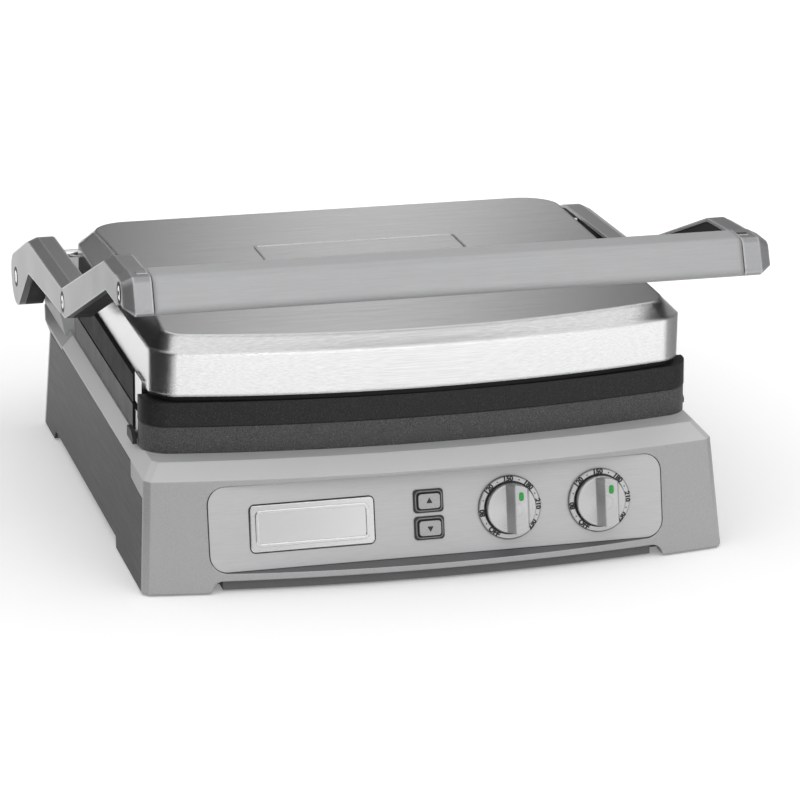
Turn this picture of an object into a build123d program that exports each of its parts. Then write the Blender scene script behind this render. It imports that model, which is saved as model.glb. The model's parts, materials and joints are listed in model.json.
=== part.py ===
from build123d import *
import os
from math import acos, atan, atan2, cos, degrees, hypot, sin, sqrt

# Panini press: a low base with a bowed front and a flat control panel, a lower
# ribbed plate, and a cover with the upper ribbed plate that floats between two
# cranked arms. The arms turn on towers at the rear corners of the base.
# Millimetres. X to the right as the cook sees it, Y to the rear, Z up.

# Fits
SEAM = 0.3               # room between pieces that lie edge to edge
RUNNING_FIT = 0.06       # radial room round pins, shafts and rods
SLIDE_FIT = 0.35         # room on each side of sliding pieces

# Base housing
FOOT_HEIGHT = 1.5        # rubber below the housing's edge
BASE_WIDTH = 412.0       # at the counter
BASE_FRONT = -177.0      # front corners at the counter
BASE_REAR = 193.5        # rear wall
FRONT_BOW = 18.0         # how far the front swells between its corners
FRONT_LEAN = 0.2167      # the front leans back, run over rise
SIDE_DRAFT = 0.0674      # the sides lean in, run over rise
CORNER_BEVEL = 4.0       # flat on the upright front corners
WALL_TOP = 75.7          # where the sloping rim starts
RIM_TOP = 84.7           # deck under the lower plate
RIM_RUN_SIDE = 8.3       # rim slope seen in plan, at the sides
RIM_RUN_FRONT = 13.4     # and at the front corners
RIM_RUN_REAR = 8.0
RIM_BOW = 15.6
HOUSING_WALL = 4.0
FRONT_WALL = 6.0         # front wall at the corners
DECK_THICKNESS = 4.7
KICK_SIDE = 46.2         # from each side to the recess under the front edge
KICK_HEIGHT = 9.0
KICK_CORNER = 8.0
KICK_DEPTH = 6.0         # skirt behind the recess
SIDE_ARCH_FRONT = -80.0  # raised stretch of the side walls' lower edge
SIDE_ARCH_REAR = 150.0
SIDE_ARCH_HEIGHT = 8.5
SIDE_PANEL_THICKNESS = 2.0
SIDE_PANEL_MARGIN = 3.0  # strip of housing beside the front corner bevel
PAN_THICKNESS = 2.5
PAN_FLANGE = 12.0
FOOT_RADIUS = 11.0
FOOT_STEM = 4.0
FOOT_INSET = 26.0
FOOT_Y = 150.0

# Deck opening, reflectors and heaters
WELL_LEDGE = 10.0        # deck under each side of the plate
WELL_FRONT = -122.0
WELL_REAR = 92.0
WELL_CORNER = 12.0
FLANGE = 6.0             # reflector rim round the opening
SHEET = 0.8
REFLECTOR_DEPTH = 10.7
HEATER_RADIUS = 3.5
HEATER_RUNS = 2
HEATER_INSET = 31.0      # from the opening's sides
HEATER_PITCH = 110.0
HEATER_LEG = 26.0
DRAIN_WIDTH = 120.0      # slot behind the lower plate
DRAIN_FRONT = 108.0
DRAIN_REAR = 128.0

# Cooking plates
PLATE_INSET = 11.0       # from each side of the base to the plate's front part
PLATE_SHOULDER = 9.0     # the plate is narrower behind the corner clips
PLATE_FRONT = -149.0
PLATE_RADIUS = 950.0     # plan curve of the front edge
PLATE_CORNER = 21.0
PLATE_STEP = -108.0      # where the plate narrows
PLATE_REAR = 101.0
PLATE_DRAFT = 0.3        # each plate narrows by this towards the top
LOWER_PLATE_HEIGHT = 18.7
PLATE_GAP = 0.3          # between the closed plates
UPPER_PLATE_HEIGHT = 17.1
PLATE_MARGIN = 22.0      # rim round the ribbed floor
FLOOR_DEPTH = 9.3        # ribbed floor below the rim
RIB_HEIGHT = 4.6
RIB_FOOT = 6.0
RIB_CREST = 3.0
RIB_PITCH = 11.0
RIB_END_GAP = 4.0
PLATE_WEB = 4.0          # metal between the floor and the hollow back

# Frames beside the plates
FRAME_WALL = 4.0
FRAME_GAP = 2.0          # plate to frame
FRAME_FRONT = -77.0
LOWER_FRAME_REAR = 140.0
LOWER_FRAME_HEIGHT = 18.5
LOWER_FRAME_BAR = 15.3   # height of its rear bar
UPPER_FRAME_REAR = 118.0
UPPER_FRAME_DROP = 17.0  # side walls below the cover
WEB_THICKNESS = 3.3

# Cover
COVER_INSET = 6.0        # inside the plates' sides
COVER_FRONT = -150.0
COVER_RADIUS = 820.0
COVER_CORNER = 21.0
COVER_REAR = 168.0
COVER_REAR_CORNER = 34.0
COVER_GAP = 0.4          # over the upper frame
COVER_WALL_HEIGHT = 30.0
COVER_SHEET = 1.5
BEVEL_HEIGHT = 20.0      # the sloping edge, cut off by the crowned top
BEVEL_RUN = 20.0
CROWN_FRONT = 164.5      # heights of the crowned top
CROWN_MIDDLE = 169.5
CROWN_REAR = 165.5
CHEEK_FRONT = 104.0      # pivot cheeks inside the cover
CHEEK_INSET = 25.0
CHEEK_THICKNESS = 4.0
ROD_ROOM = 1.0           # round the rod where it enters the cover

# Main hinge and cover pivot
HINGE_Y = 238.0
HINGE_Z = 104.0
HINGE_PIN_RADIUS = 6.0
BUSH_WALL = 3.0
BUSH_FLANGE_RADIUS = 14.0
BUSH_FLANGE = 0.7
KNUCKLE_RADIUS = 18.0
TOWER_FRONT = 144.0
TOWER_WIDTH = 40.6
TOWER_DEPTH = 11.7       # below the deck
TOWER_GAP = 2.5          # to the arms' inner faces
PIVOT_Y = 149.0
PIVOT_Z = 146.2
ROD_RADIUS = 3.0
ROD_SOCKET = 8.0

# Arms and handle
ARM_OVERLAP = 7.0        # the arms stand over the sides of the base
ARM_THICKNESS = 19.5
ARM_FLARE = 4.0          # the cranks lean outward to the handle's ends
LUG_RADIUS = 21.5
ARM_SKIN = 2.5           # casting over the liner
ARM_SIDE_WALL = 5.0
LINER_RECESS = 0.8
ARM_CHAMFER_RUN = 7.5
ARM_CHAMFER_DROP = 4.0
ARM_CHAMFER_BACK = 2.0
CAP_CHAMFER_RISE = 5.5   # the handle ends are chamfered below as well
CREST_Y = 183.0
CREST_Z = 151.0
VALLEY_Y = 44.0
VALLEY_Z = 155.2
PEAK_Y = -131.5
PEAK_Z = 226.8
HANDLE_TOP = 231.0
HANDLE_FRONT = -208.0
HANDLE_REAR = -174.0
HANDLE_BOTTOM = 206.5
HANDLE_WALL = 3.0
HANDLE_SPREAD = 3.3      # the bar reaches past the arms' inner faces
LINER_FRONT = -171.0
SCREW_RADIUS = 6.5
SCREW_HEAD = 1.6
SCREW_PROUD = 0.5
SCREW_SHANK = 3.0
SCREW_LENGTH = 9.0

# Control panel
PANEL_SIDE = 46.0        # from each side of the base
PANEL_LOW = 14.6         # along the leaning front, from the counter
PANEL_HIGH = 72.8
PANEL_CORNER = 12.0
PANEL_THICKNESS = 3.0
PANEL_LEDGE = 7.0        # seat behind the panel's edge
LEDGE_FALL = 0.123       # slope of the ledge under the panel
BADGE_X = -88.6
BADGE_V = 42.6
BADGE_WIDTH = 86.3
BADGE_HEIGHT = 32.2
BADGE_THICKNESS = 1.0
BUTTON_X = -7.0
BUTTON_V = (52.5, 33.9)
BEZEL_WIDTH = 21.2
BEZEL_HEIGHT = 16.2
BEZEL_DEPTH = 1.6
BUTTON_WIDTH = 17.0
BUTTON_HEIGHT = 12.0
BUTTON_PROUD = 3.2
BUTTON_TRAVEL = 1.6
DIAL_X = (50.3, 114.7)
DIAL_V = 43.5
DIAL_RADIUS = 22.2
DIAL_HEIGHT = 2.4
KNOB_RADIUS = 17.4
KNOB_HEIGHT = 7.5
RIDGE_HEIGHT = 17.0
RIDGE_LEFT = -0.3
RIDGE_RIGHT = 8.6
RIDGE_FLANK = 4.5
SHAFT_RADIUS = 3.0
SHAFT_LENGTH = 14.0
LED_X = 4.1
LED_V = 9.0
LED_WIDTH = 3.1
LED_LENGTH = 5.9
LED_DEPTH = 1.5
THERMOSTAT_RADIUS = 14.0
THERMOSTAT_DEPTH = 18.0
BOARD_DEPTH = 20.0
BOARD_THICKNESS = 1.6
BOARD_WIDTH = 56.0
BOARD_HEIGHT = 44.0
SWITCH_HEIGHT = 5.0

# Corner clips
CLIP_FRONT = -103.0
CLIP_REAR = -80.5
CLIP_THICKNESS = 4.5
CLIP_NOSE = 1.6
CLIP_TRAVEL = 2.2
LOWER_CLIP_TOP = 101.0
UPPER_CLIP_LOW = 107.0
UPPER_CLIP_HIGH = 128.0
TAB_FRONT = -108.0
TAB_REAR = -88.0
TAB_HEIGHT = 8.0
TAB_THICKNESS = 3.0

# Drip tray and cord inlet
TRAY_WIDTH = 180.0
TRAY_FRONT = -10.0
TRAY_FLOOR = 18.0
TRAY_HEIGHT = 32.0
TRAY_WALL = 2.0
TRAY_FACE = 3.0
TRAY_FACE_MARGIN = 5.0
RAIL_WIDTH = 10.0
INLET_INSET = 66.0
INLET_Z = 26.0
INLET_RADIUS = 9.0
INLET_BORE = 4.0

# Widths, which all follow the base
KICK_WIDTH = BASE_WIDTH - 2 * KICK_SIDE
FOOT_X = BASE_WIDTH / 2 - FOOT_INSET
PLATE_WIDTH = BASE_WIDTH - 2 * PLATE_INSET
PLATE_BODY_WIDTH = PLATE_WIDTH - 2 * PLATE_SHOULDER
WELL_WIDTH = PLATE_BODY_WIDTH - 2 * WELL_LEDGE
HEATER_SPAN = WELL_WIDTH - 2 * HEATER_INSET
COVER_WIDTH = PLATE_WIDTH - 2 * COVER_INSET
CHEEK_OUTSIDE = COVER_WIDTH / 2 - CHEEK_INSET
ARM_INSIDE = BASE_WIDTH / 2 - ARM_OVERLAP
ARM_OUTSIDE = ARM_INSIDE + ARM_THICKNESS
HANDLE_HALF = ARM_INSIDE + HANDLE_SPREAD
PANEL_WIDTH = BASE_WIDTH - 2 * PANEL_SIDE
INLET_X = BASE_WIDTH / 2 - INLET_INSET

# Derived heights and places
LEAN_ANGLE = atan(FRONT_LEAN)
PLATE_LOW_TOP = RIM_TOP + LOWER_PLATE_HEIGHT
PLATE_UP_LOW = PLATE_LOW_TOP + PLATE_GAP
PLATE_UP_TOP = PLATE_UP_LOW + UPPER_PLATE_HEIGHT
WEB_LOW = PLATE_UP_TOP + SEAM
WEB_TOP = WEB_LOW + WEB_THICKNESS
COVER_LOW = WEB_TOP + COVER_GAP
COVER_SHOULDER = COVER_LOW + COVER_WALL_HEIGHT
FRAME_IN = PLATE_BODY_WIDTH / 2 + FRAME_GAP
FRAME_OUT = FRAME_IN + FRAME_WALL
FRAME_SHIFT = -(HANDLE_FRONT + HINGE_Y + LUG_RADIUS) / 2 - 0.2
PANEL_BOW = FRONT_BOW * (1 - (PANEL_WIDTH / BASE_WIDTH) ** 2)
PANEL_MID = (PANEL_LOW + PANEL_HIGH) / 2
PANEL_FACE = Plane(
    origin=(0, BASE_FRONT - PANEL_BOW + PANEL_MID * sin(LEAN_ANGLE), PANEL_MID * cos(LEAN_ANGLE)),
    x_dir=(1, 0, 0),
    z_dir=(0, -cos(LEAN_ANGLE), sin(LEAN_ANGLE)),
)


# Helpers
def save(shape, node):
    export_step(Pos(0, FRAME_SHIFT, 0) * shape, f"parts/{node}.step")


def both_sides(shape):
    return Compound([*shape.solids(), *mirror(shape, about=Plane.YZ).solids()])


def block(x0, x1, y0, y1, z0, z1):
    centre = Pos((x0 + x1) / 2, (y0 + y1) / 2, (z0 + z1) / 2)
    return centre * Box(x1 - x0, y1 - y0, z1 - z0)


def tile(x0, x1, y0, y1, corner=0.0):
    centre = Pos((x0 + x1) / 2, (y0 + y1) / 2)
    if corner > 0:
        return centre * RectangleRounded(x1 - x0, y1 - y0, corner)
    return centre * Rectangle(x1 - x0, y1 - y0)


def slab(sketch, z0, z1):
    return extrude(Pos(0, 0, z0) * sketch, z1 - z0)


def side_slab(sketch, x0, x1):
    return extrude(Plane.YZ.offset(x0) * sketch, x1 - x0)


def outline(points, radii):
    return make_face(FilletPolyline(*points, radius=radii, close=True))


def x_rod(radius, x0, x1, y, z):
    return side_slab(Pos(y, z) * Circle(radius), x0, x1)


def on_panel(x, v, lift=0.0):
    return PANEL_FACE.location * Pos(x, v - PANEL_MID, lift)


# Base housing: a leaning wall with a bowed front, a sloping rim and a flat deck
def base_half(z):
    return BASE_WIDTH / 2 - SIDE_DRAFT * z


def footprint(half, front, rear, bow, z):
    tip = half - CORNER_BEVEL
    tip_y = front - bow * (1 - (tip / half) ** 2)
    side = front + CORNER_BEVEL
    edge = [
        ThreePointArc((-tip, tip_y), (0, front - bow), (tip, tip_y)),
        Line((tip, tip_y), (half, side)),
        Line((half, side), (half, rear)),
        Line((half, rear), (-half, rear)),
        Line((-half, rear), (-half, side)),
        Line((-half, side), (-tip, tip_y)),
    ]
    return Pos(0, 0, z) * make_face(edge)


def base_envelope(inset):
    low = footprint(base_half(FOOT_HEIGHT) - inset, BASE_FRONT + FRONT_LEAN * FOOT_HEIGHT,
                    BASE_REAR, FRONT_BOW, FOOT_HEIGHT)
    high = footprint(base_half(WALL_TOP) - inset, BASE_FRONT + FRONT_LEAN * WALL_TOP,
                     BASE_REAR, FRONT_BOW, WALL_TOP)
    rim = footprint(base_half(WALL_TOP) - RIM_RUN_SIDE - inset,
                    BASE_FRONT + FRONT_LEAN * WALL_TOP + RIM_RUN_FRONT,
                    BASE_REAR - RIM_RUN_REAR, RIM_BOW, RIM_TOP)
    return loft([low, high], ruled=True) + loft([high, rim], ruled=True)


def cavity_section(z):
    half = base_half(z) - HOUSING_WALL
    front = BASE_FRONT + FRONT_WALL + FRONT_LEAN * z
    return Pos(0, 0, z) * tile(-half, half, front, BASE_REAR - HOUSING_WALL)


def side_panel_prism(gap):
    front = BASE_FRONT + CORNER_BEVEL + SIDE_PANEL_MARGIN - gap
    step = 0.5 * SIDE_ARCH_HEIGHT
    cut = WALL_TOP - 12.7
    points = [
        (front, 0),
        (SIDE_ARCH_FRONT - step, 0),
        (SIDE_ARCH_FRONT, SIDE_ARCH_HEIGHT),
        (SIDE_ARCH_REAR, SIDE_ARCH_HEIGHT),
        (SIDE_ARCH_REAR + step, 0),
        (BASE_REAR - HOUSING_WALL + gap, 0),
        (BASE_REAR - HOUSING_WALL + gap, RIM_TOP - TOWER_DEPTH - SEAM + gap),
        (TOWER_FRONT - SEAM + gap, RIM_TOP - TOWER_DEPTH - SEAM + gap),
        (TOWER_FRONT - SEAM + gap, WALL_TOP - SEAM + gap),
        (BASE_FRONT + 64, WALL_TOP - SEAM + gap),
        (BASE_FRONT + 60 - gap, cut + 2),
        (BASE_FRONT + 34, cut + gap),
        (front + FRONT_LEAN * cut, cut + gap),
    ]
    return side_slab(make_face(Polyline(*points, close=True)), ARM_INSIDE / 2, ARM_OUTSIDE + 10)


def make_housing():
    body = base_envelope(0)
    low = loft([cavity_section(0), cavity_section(WALL_TOP - 2)], ruled=True)
    high_half = base_half(WALL_TOP) - RIM_RUN_SIDE - HOUSING_WALL
    high_front = BASE_FRONT + FRONT_LEAN * WALL_TOP + RIM_RUN_FRONT + FRONT_WALL
    high_rear = BASE_REAR - RIM_RUN_REAR - HOUSING_WALL
    high = block(-high_half, high_half, high_front, high_rear, WALL_TOP - 3, RIM_TOP - DECK_THICKNESS)
    body -= low + high
    # Deck opening with a rebate for the reflector, and the drain slot behind it
    half = WELL_WIDTH / 2
    body -= slab(tile(-half, half, WELL_FRONT, WELL_REAR, WELL_CORNER), WALL_TOP, RIM_TOP + 1)
    lip = FLANGE + SEAM
    body -= slab(tile(-half - lip, half + lip, WELL_FRONT - lip, WELL_REAR + lip, WELL_CORNER + lip),
                 RIM_TOP - SHEET, RIM_TOP + 1)
    body -= slab(tile(-DRAIN_WIDTH / 2, DRAIN_WIDTH / 2, DRAIN_FRONT, DRAIN_REAR, 5), WALL_TOP, RIM_TOP + 1)
    # Recess under the front edge and raised stretches under the sides
    kick = RectangleRounded(KICK_WIDTH, 2 * KICK_HEIGHT, KICK_CORNER)
    kick_back = BASE_FRONT + FRONT_WALL + FRONT_LEAN * KICK_HEIGHT + 1
    body -= extrude(Plane.XZ.offset(-kick_back) * kick, 2 * FRONT_BOW + 2 * FRONT_WALL)
    step = 0.5 * SIDE_ARCH_HEIGHT
    arch = make_face(Polyline((SIDE_ARCH_FRONT - step, 0), (SIDE_ARCH_FRONT, SIDE_ARCH_HEIGHT),
                              (SIDE_ARCH_REAR, SIDE_ARCH_HEIGHT), (SIDE_ARCH_REAR + step, 0), close=True))
    body -= side_slab(arch, -BASE_WIDTH, BASE_WIDTH)
    # Inlaid side panels
    inlay = side_panel_prism(SEAM) - base_envelope(SIDE_PANEL_THICKNESS)
    body -= inlay
    body -= mirror(inlay, about=Plane.YZ)
    # Panel recess: straight out at the top, falling outward at the bottom
    gap = 2 * SEAM
    face = PANEL_FACE.offset(-PANEL_THICKNESS) * RectangleRounded(
        PANEL_WIDTH + gap, PANEL_HIGH - PANEL_LOW + gap, PANEL_CORNER + SEAM)
    deep = PANEL_THICKNESS + 2 * FRONT_BOW
    body -= extrude(face, deep)
    fall = PANEL_FACE * RectangleRounded(
        PANEL_WIDTH + gap, PANEL_HIGH - PANEL_LOW + gap, PANEL_CORNER + SEAM)
    body -= extrude(fall, deep, dir=(0, -1, -LEDGE_FALL))
    window = RectangleRounded(PANEL_WIDTH - 2 * PANEL_LEDGE, PANEL_HIGH - PANEL_LOW - 2 * PANEL_LEDGE,
                              PANEL_CORNER - PANEL_LEDGE + 2)
    body -= extrude(PANEL_FACE.offset(-FRONT_BOW - FRONT_WALL) * window, FRONT_BOW + FRONT_WALL)
    # Rear corners make room for the hinge towers
    inner = base_half(WALL_TOP) - TOWER_WIDTH
    for side in (1, -1):
        x0, x1 = sorted((side * inner, side * BASE_WIDTH))
        body -= block(x0, x1, TOWER_FRONT, BASE_REAR + 1, RIM_TOP - TOWER_DEPTH, RIM_TOP + 1)
    # Tray mouth and cord inlet in the rear wall
    half = TRAY_WIDTH / 2 + SLIDE_FIT
    body -= block(-half, half, BASE_REAR - 2 * HOUSING_WALL, BASE_REAR + 1,
                  TRAY_FLOOR - SLIDE_FIT, TRAY_FLOOR + TRAY_HEIGHT + SLIDE_FIT)
    hole = Plane.XZ.offset(-BASE_REAR - 1) * Pos(INLET_X, INLET_Z) * Circle(INLET_RADIUS - 2)
    body -= extrude(hole, 2 * HOUSING_WALL)
    return body


def make_side_panel():
    shell = base_envelope(0) & side_panel_prism(0)
    return shell - base_envelope(SIDE_PANEL_THICKNESS)


# Bottom pan: an upturned tray that closes the housing, with the tray's rails
def make_bottom_pan():
    half = base_half(PAN_FLANGE + FOOT_HEIGHT) - HOUSING_WALL - SEAM
    front = BASE_FRONT + FRONT_WALL + FRONT_LEAN * (PAN_FLANGE + FOOT_HEIGHT) + SEAM
    rear = BASE_REAR - HOUSING_WALL - SEAM
    pan = slab(tile(-half, half, front, rear), FOOT_HEIGHT, FOOT_HEIGHT + PAN_FLANGE)
    t = PAN_THICKNESS
    pan -= slab(tile(-half + t, half - t, front + t, rear - t), FOOT_HEIGHT + t, FOOT_HEIGHT + PAN_FLANGE + 1)
    # Bowed skirt behind the recess in the front edge
    reach = KICK_WIDTH / 2 - KICK_CORNER - SEAM
    tip = BASE_FRONT + KICK_DEPTH - FRONT_BOW * (1 - (2 * reach / BASE_WIDTH) ** 2)
    nose = BASE_FRONT + KICK_DEPTH - FRONT_BOW
    back = front + t
    lobe = [ThreePointArc((-reach, tip), (0, nose), (reach, tip)), Line((reach, tip), (reach, back)),
            Line((reach, back), (-reach, back)), Line((-reach, back), (-reach, tip))]
    pan += slab(make_face(lobe), FOOT_HEIGHT, KICK_HEIGHT - SEAM)
    # Rails under the drip tray
    for side in (1, -1):
        edge = side * (TRAY_WIDTH / 2 - 2 * TRAY_WALL)
        x0, x1 = sorted((edge, edge - side * RAIL_WIDTH))
        pan += block(x0, x1, TRAY_FRONT, rear - t / 2, FOOT_HEIGHT, TRAY_FLOOR - SLIDE_FIT)
    for x in (-FOOT_X, FOOT_X):
        for y in (-FOOT_Y, FOOT_Y):
            pan -= Pos(x, y, FOOT_HEIGHT) * Cylinder(FOOT_STEM, 4 * PAN_THICKNESS)
    return pan


def make_feet():
    stem = FOOT_HEIGHT + PAN_THICKNESS + 1
    foot = slab(Circle(FOOT_RADIUS), 0, FOOT_HEIGHT) + slab(Circle(FOOT_STEM - RUNNING_FIT), 0, stem)
    feet = [Pos(x, y, 0) * foot for x in (-FOOT_X, FOOT_X) for y in (-FOOT_Y, FOOT_Y)]
    return Compound([solid for foot in feet for solid in foot.solids()])


# Control panel and its controls
def make_control_panel():
    panel = extrude(PANEL_FACE * RectangleRounded(PANEL_WIDTH, PANEL_HIGH - PANEL_LOW, PANEL_CORNER),
                    -PANEL_THICKNESS)
    for x in DIAL_X:
        panel -= on_panel(x, DIAL_V) * Cylinder(SHAFT_RADIUS + RUNNING_FIT, 4 * PANEL_THICKNESS)
    for v in BUTTON_V:
        panel -= on_panel(BUTTON_X, v) * Box(BUTTON_WIDTH + 2 * SLIDE_FIT, BUTTON_HEIGHT + 2 * SLIDE_FIT,
                                             4 * PANEL_THICKNESS)
    return panel


def make_badge():
    plate = extrude(RectangleRounded(BADGE_WIDTH, BADGE_HEIGHT, 3), BADGE_THICKNESS)
    return on_panel(BADGE_X, BADGE_V) * chamfer(plate.faces().sort_by(Axis.Z)[-1].edges(), 0.5)


def make_bezels():
    room = 2 * SLIDE_FIT
    ring = extrude(RectangleRounded(BEZEL_WIDTH, BEZEL_HEIGHT, 2.5), BEZEL_DEPTH)
    ring = chamfer(ring.faces().sort_by(Axis.Z)[-1].edges(), 0.7)
    ring -= Box(BUTTON_WIDTH + room, BUTTON_HEIGHT + room, 4 * BEZEL_DEPTH)
    rings = [on_panel(BUTTON_X, v) * ring for v in BUTTON_V]
    return Compound([solid for ring in rings for solid in ring.solids()])


def make_button(v):
    low = -PANEL_THICKNESS - 1
    cap = slab(RectangleRounded(BUTTON_WIDTH, BUTTON_HEIGHT, 1.5), low, BUTTON_PROUD)
    cap = chamfer(cap.faces().sort_by(Axis.Z)[-1].edges(), 0.8)
    switch = -PANEL_THICKNESS - BOARD_DEPTH + SWITCH_HEIGHT
    cap += slab(Circle(2), switch + BUTTON_TRAVEL + SEAM, low)
    return on_panel(BUTTON_X, v) * cap


def make_dial_rings():
    ring = extrude(Circle(DIAL_RADIUS), DIAL_HEIGHT)
    ring = chamfer(ring.faces().sort_by(Axis.Z)[-1].edges(), 1.0)
    ring -= Cylinder(KNOB_RADIUS + SEAM, 4 * DIAL_HEIGHT)
    return Compound([solid for x in DIAL_X for solid in (on_panel(x, DIAL_V) * ring).solids()])


def led_shape(grow, z0, z1):
    return Pos(LED_X, LED_V) * slab(SlotOverall(LED_LENGTH + 2 * grow, LED_WIDTH + 2 * grow, rotation=90), z0, z1)


# Knob: a drum with an off-centre finger ridge, flat on top and sloped at both flanks
def make_knob(x):
    drum = slab(Circle(KNOB_RADIUS), SEAM, KNOB_HEIGHT)
    drum = chamfer(drum.faces().sort_by(Axis.Z)[-1].edges(), 0.7)
    flank = RIDGE_LEFT - RIDGE_FLANK
    heel = RIDGE_RIGHT + RIDGE_FLANK
    section = outline([(flank, KNOB_HEIGHT - 2), (RIDGE_LEFT, RIDGE_HEIGHT), (RIDGE_RIGHT, RIDGE_HEIGHT),
                       (heel, KNOB_HEIGHT - 2)], [0, 1.2, 1.2, 0])
    ridge = extrude(Plane.XZ.offset(-KNOB_RADIUS) * section, 2 * KNOB_RADIUS)
    grip = slab(Circle(KNOB_RADIUS - 0.8), SEAM, RIDGE_HEIGHT + 1)
    knob = drum + (ridge & grip)
    knob += slab(Circle(SHAFT_RADIUS), -SHAFT_LENGTH, SEAM)
    knob -= led_shape(0.05, RIDGE_HEIGHT - LED_DEPTH, RIDGE_HEIGHT + 1)
    return on_panel(x, DIAL_V) * knob


def make_led(x):
    return on_panel(x, DIAL_V) * led_shape(0, RIDGE_HEIGHT - LED_DEPTH, RIDGE_HEIGHT + 0.2)


def make_thermostats():
    body = slab(Circle(THERMOSTAT_RADIUS), -PANEL_THICKNESS - THERMOSTAT_DEPTH, -PANEL_THICKNESS)
    body -= slab(Circle(SHAFT_RADIUS + RUNNING_FIT), -SHAFT_LENGTH - 1, 0)
    return Compound([solid for x in DIAL_X for solid in (on_panel(x, DIAL_V) * body).solids()])


def make_board():
    top = -PANEL_THICKNESS - BOARD_DEPTH
    middle = sum(BUTTON_V) / len(BUTTON_V)
    board = slab(Rectangle(BOARD_WIDTH, BOARD_HEIGHT), top - BOARD_THICKNESS, top)
    for x in (-1, 1):
        for y in (-1, 1):
            post = Circle(2.5)
            place = Pos(x * (BOARD_WIDTH / 2 - 4), y * (BOARD_HEIGHT / 2 - 4))
            board += place * slab(post, top, -PANEL_THICKNESS)
    for v in BUTTON_V:
        board += Pos(0, v - middle) * slab(Rectangle(8, 8), top, top + SWITCH_HEIGHT)
    return on_panel(BUTTON_X, middle) * board


# Hinge towers: a foot let into the rim, a raking cheek and a round knuckle
def make_tower():
    inner = base_half(WALL_TOP) - TOWER_WIDTH + SEAM
    outer = base_half(WALL_TOP)
    low = RIM_TOP - TOWER_DEPTH
    front = TOWER_FRONT + SEAM
    section = [(inner, low), (outer, low), (outer, WALL_TOP), (outer - RIM_RUN_SIDE, RIM_TOP), (inner, RIM_TOP)]
    foot = extrude(Plane.XZ.offset(-HINGE_Y - 1) * make_face(Polyline(*section, close=True)), HINGE_Y + 1 - front)
    side = [(front, low), (BASE_REAR + 5, low), (HINGE_Y + 1, low + 7), (HINGE_Y + 1, RIM_TOP), (front, RIM_TOP)]
    foot &= side_slab(make_face(Polyline(*side, close=True)), 0, BASE_WIDTH)
    rake = [(front + 8, RIM_TOP - 3), (HINGE_Y + 1, RIM_TOP - 3), (HINGE_Y + 0.8 * KNUCKLE_RADIUS, HINGE_Z - 11),
            (HINGE_Y, HINGE_Z), (HINGE_Y - 0.45 * KNUCKLE_RADIUS, HINGE_Z + 0.89 * KNUCKLE_RADIUS)]
    cheek = make_face(Polyline(*rake, close=True)) + Pos(HINGE_Y, HINGE_Z) * Circle(KNUCKLE_RADIUS)
    side = ARM_INSIDE - TOWER_GAP
    tower = foot + side_slab(cheek, inner + 8, side)
    tower += x_rod(KNUCKLE_RADIUS - 3, side - 1, ARM_INSIDE - BUSH_FLANGE - SEAM, HINGE_Y, HINGE_Z)
    tower -= x_rod(HINGE_PIN_RADIUS + RUNNING_FIT, 0, ARM_OUTSIDE, HINGE_Y, HINGE_Z)
    return tower


def make_hinge_pin():
    inner = base_half(WALL_TOP) - TOWER_WIDTH + SEAM + 8
    return x_rod(HINGE_PIN_RADIUS, inner, ARM_OUTSIDE - ARM_SIDE_WALL - SEAM, HINGE_Y, HINGE_Z)


def make_bush():
    outer = HINGE_PIN_RADIUS + RUNNING_FIT + BUSH_WALL
    bush = x_rod(outer, ARM_INSIDE, ARM_OUTSIDE - ARM_SIDE_WALL, HINGE_Y, HINGE_Z)
    bush += x_rod(BUSH_FLANGE_RADIUS, ARM_INSIDE - BUSH_FLANGE, ARM_INSIDE, HINGE_Y, HINGE_Z)
    return bush - x_rod(HINGE_PIN_RADIUS + RUNNING_FIT, 0, ARM_OUTSIDE, HINGE_Y, HINGE_Z)


# Arms: a lug on the hinge, a level beam over the plates, a rising crank and the handle end
def grip_outline():
    top = HANDLE_TOP
    low = HANDLE_BOTTOM
    front = HANDLE_FRONT
    rear = HANDLE_REAR
    points = [(rear, top), (front + 9.2, top - 0.4), (front, low + 3), (front + 3, low - 0.2),
              (rear - 7, low + 0.8), (rear, low + 7.5)]
    return outline(points, [4, 6, 2, 2, 6, 4])


def tangent_point(y, z, side):
    reach = hypot(HINGE_Y - y, HINGE_Z - z)
    turn = atan2(z - HINGE_Z, y - HINGE_Y) + side * acos(LUG_RADIUS / reach)
    return (HINGE_Y + LUG_RADIUS * cos(turn), HINGE_Z + LUG_RADIUS * sin(turn))


def crank_outline():
    notch = (CREST_Y, CREST_Z - 28.5)
    points = [tangent_point(CREST_Y, CREST_Z, -1), (CREST_Y, CREST_Z), (VALLEY_Y, VALLEY_Z),
              (PEAK_Y, PEAK_Z), (HANDLE_REAR - 6, HANDLE_TOP - 1), (HANDLE_REAR - 14, HANDLE_BOTTOM + 12),
              (HANDLE_REAR - 6, HANDLE_BOTTOM + 0.8), (PEAK_Y - 6, PEAK_Z - 21.5), (VALLEY_Y - 14, VALLEY_Z - 21.2),
              notch, tangent_point(*notch, 1), (HINGE_Y, HINGE_Z)]
    blade = outline(points, [0, 45, 4, 4, 0, 0, 0, 5, 8, 9, 0, 0])
    return blade + Pos(HINGE_Y, HINGE_Z) * Circle(LUG_RADIUS)


# The outline is pushed sideways at a slant, and what stays of it is chamfered
def chamfered_slab(shape, *lifts):
    start = ARM_OUTSIDE - ARM_CHAMFER_RUN
    core = side_slab(shape, ARM_INSIDE, start)
    edge = side_slab(shape, start, ARM_OUTSIDE)
    for lift in lifts:
        reach = sqrt(ARM_CHAMFER_RUN ** 2 + ARM_CHAMFER_BACK ** 2 + lift ** 2)
        edge &= extrude(Plane.YZ.offset(start) * shape, reach, dir=(ARM_CHAMFER_RUN, ARM_CHAMFER_BACK, lift))
    return core + edge


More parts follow.
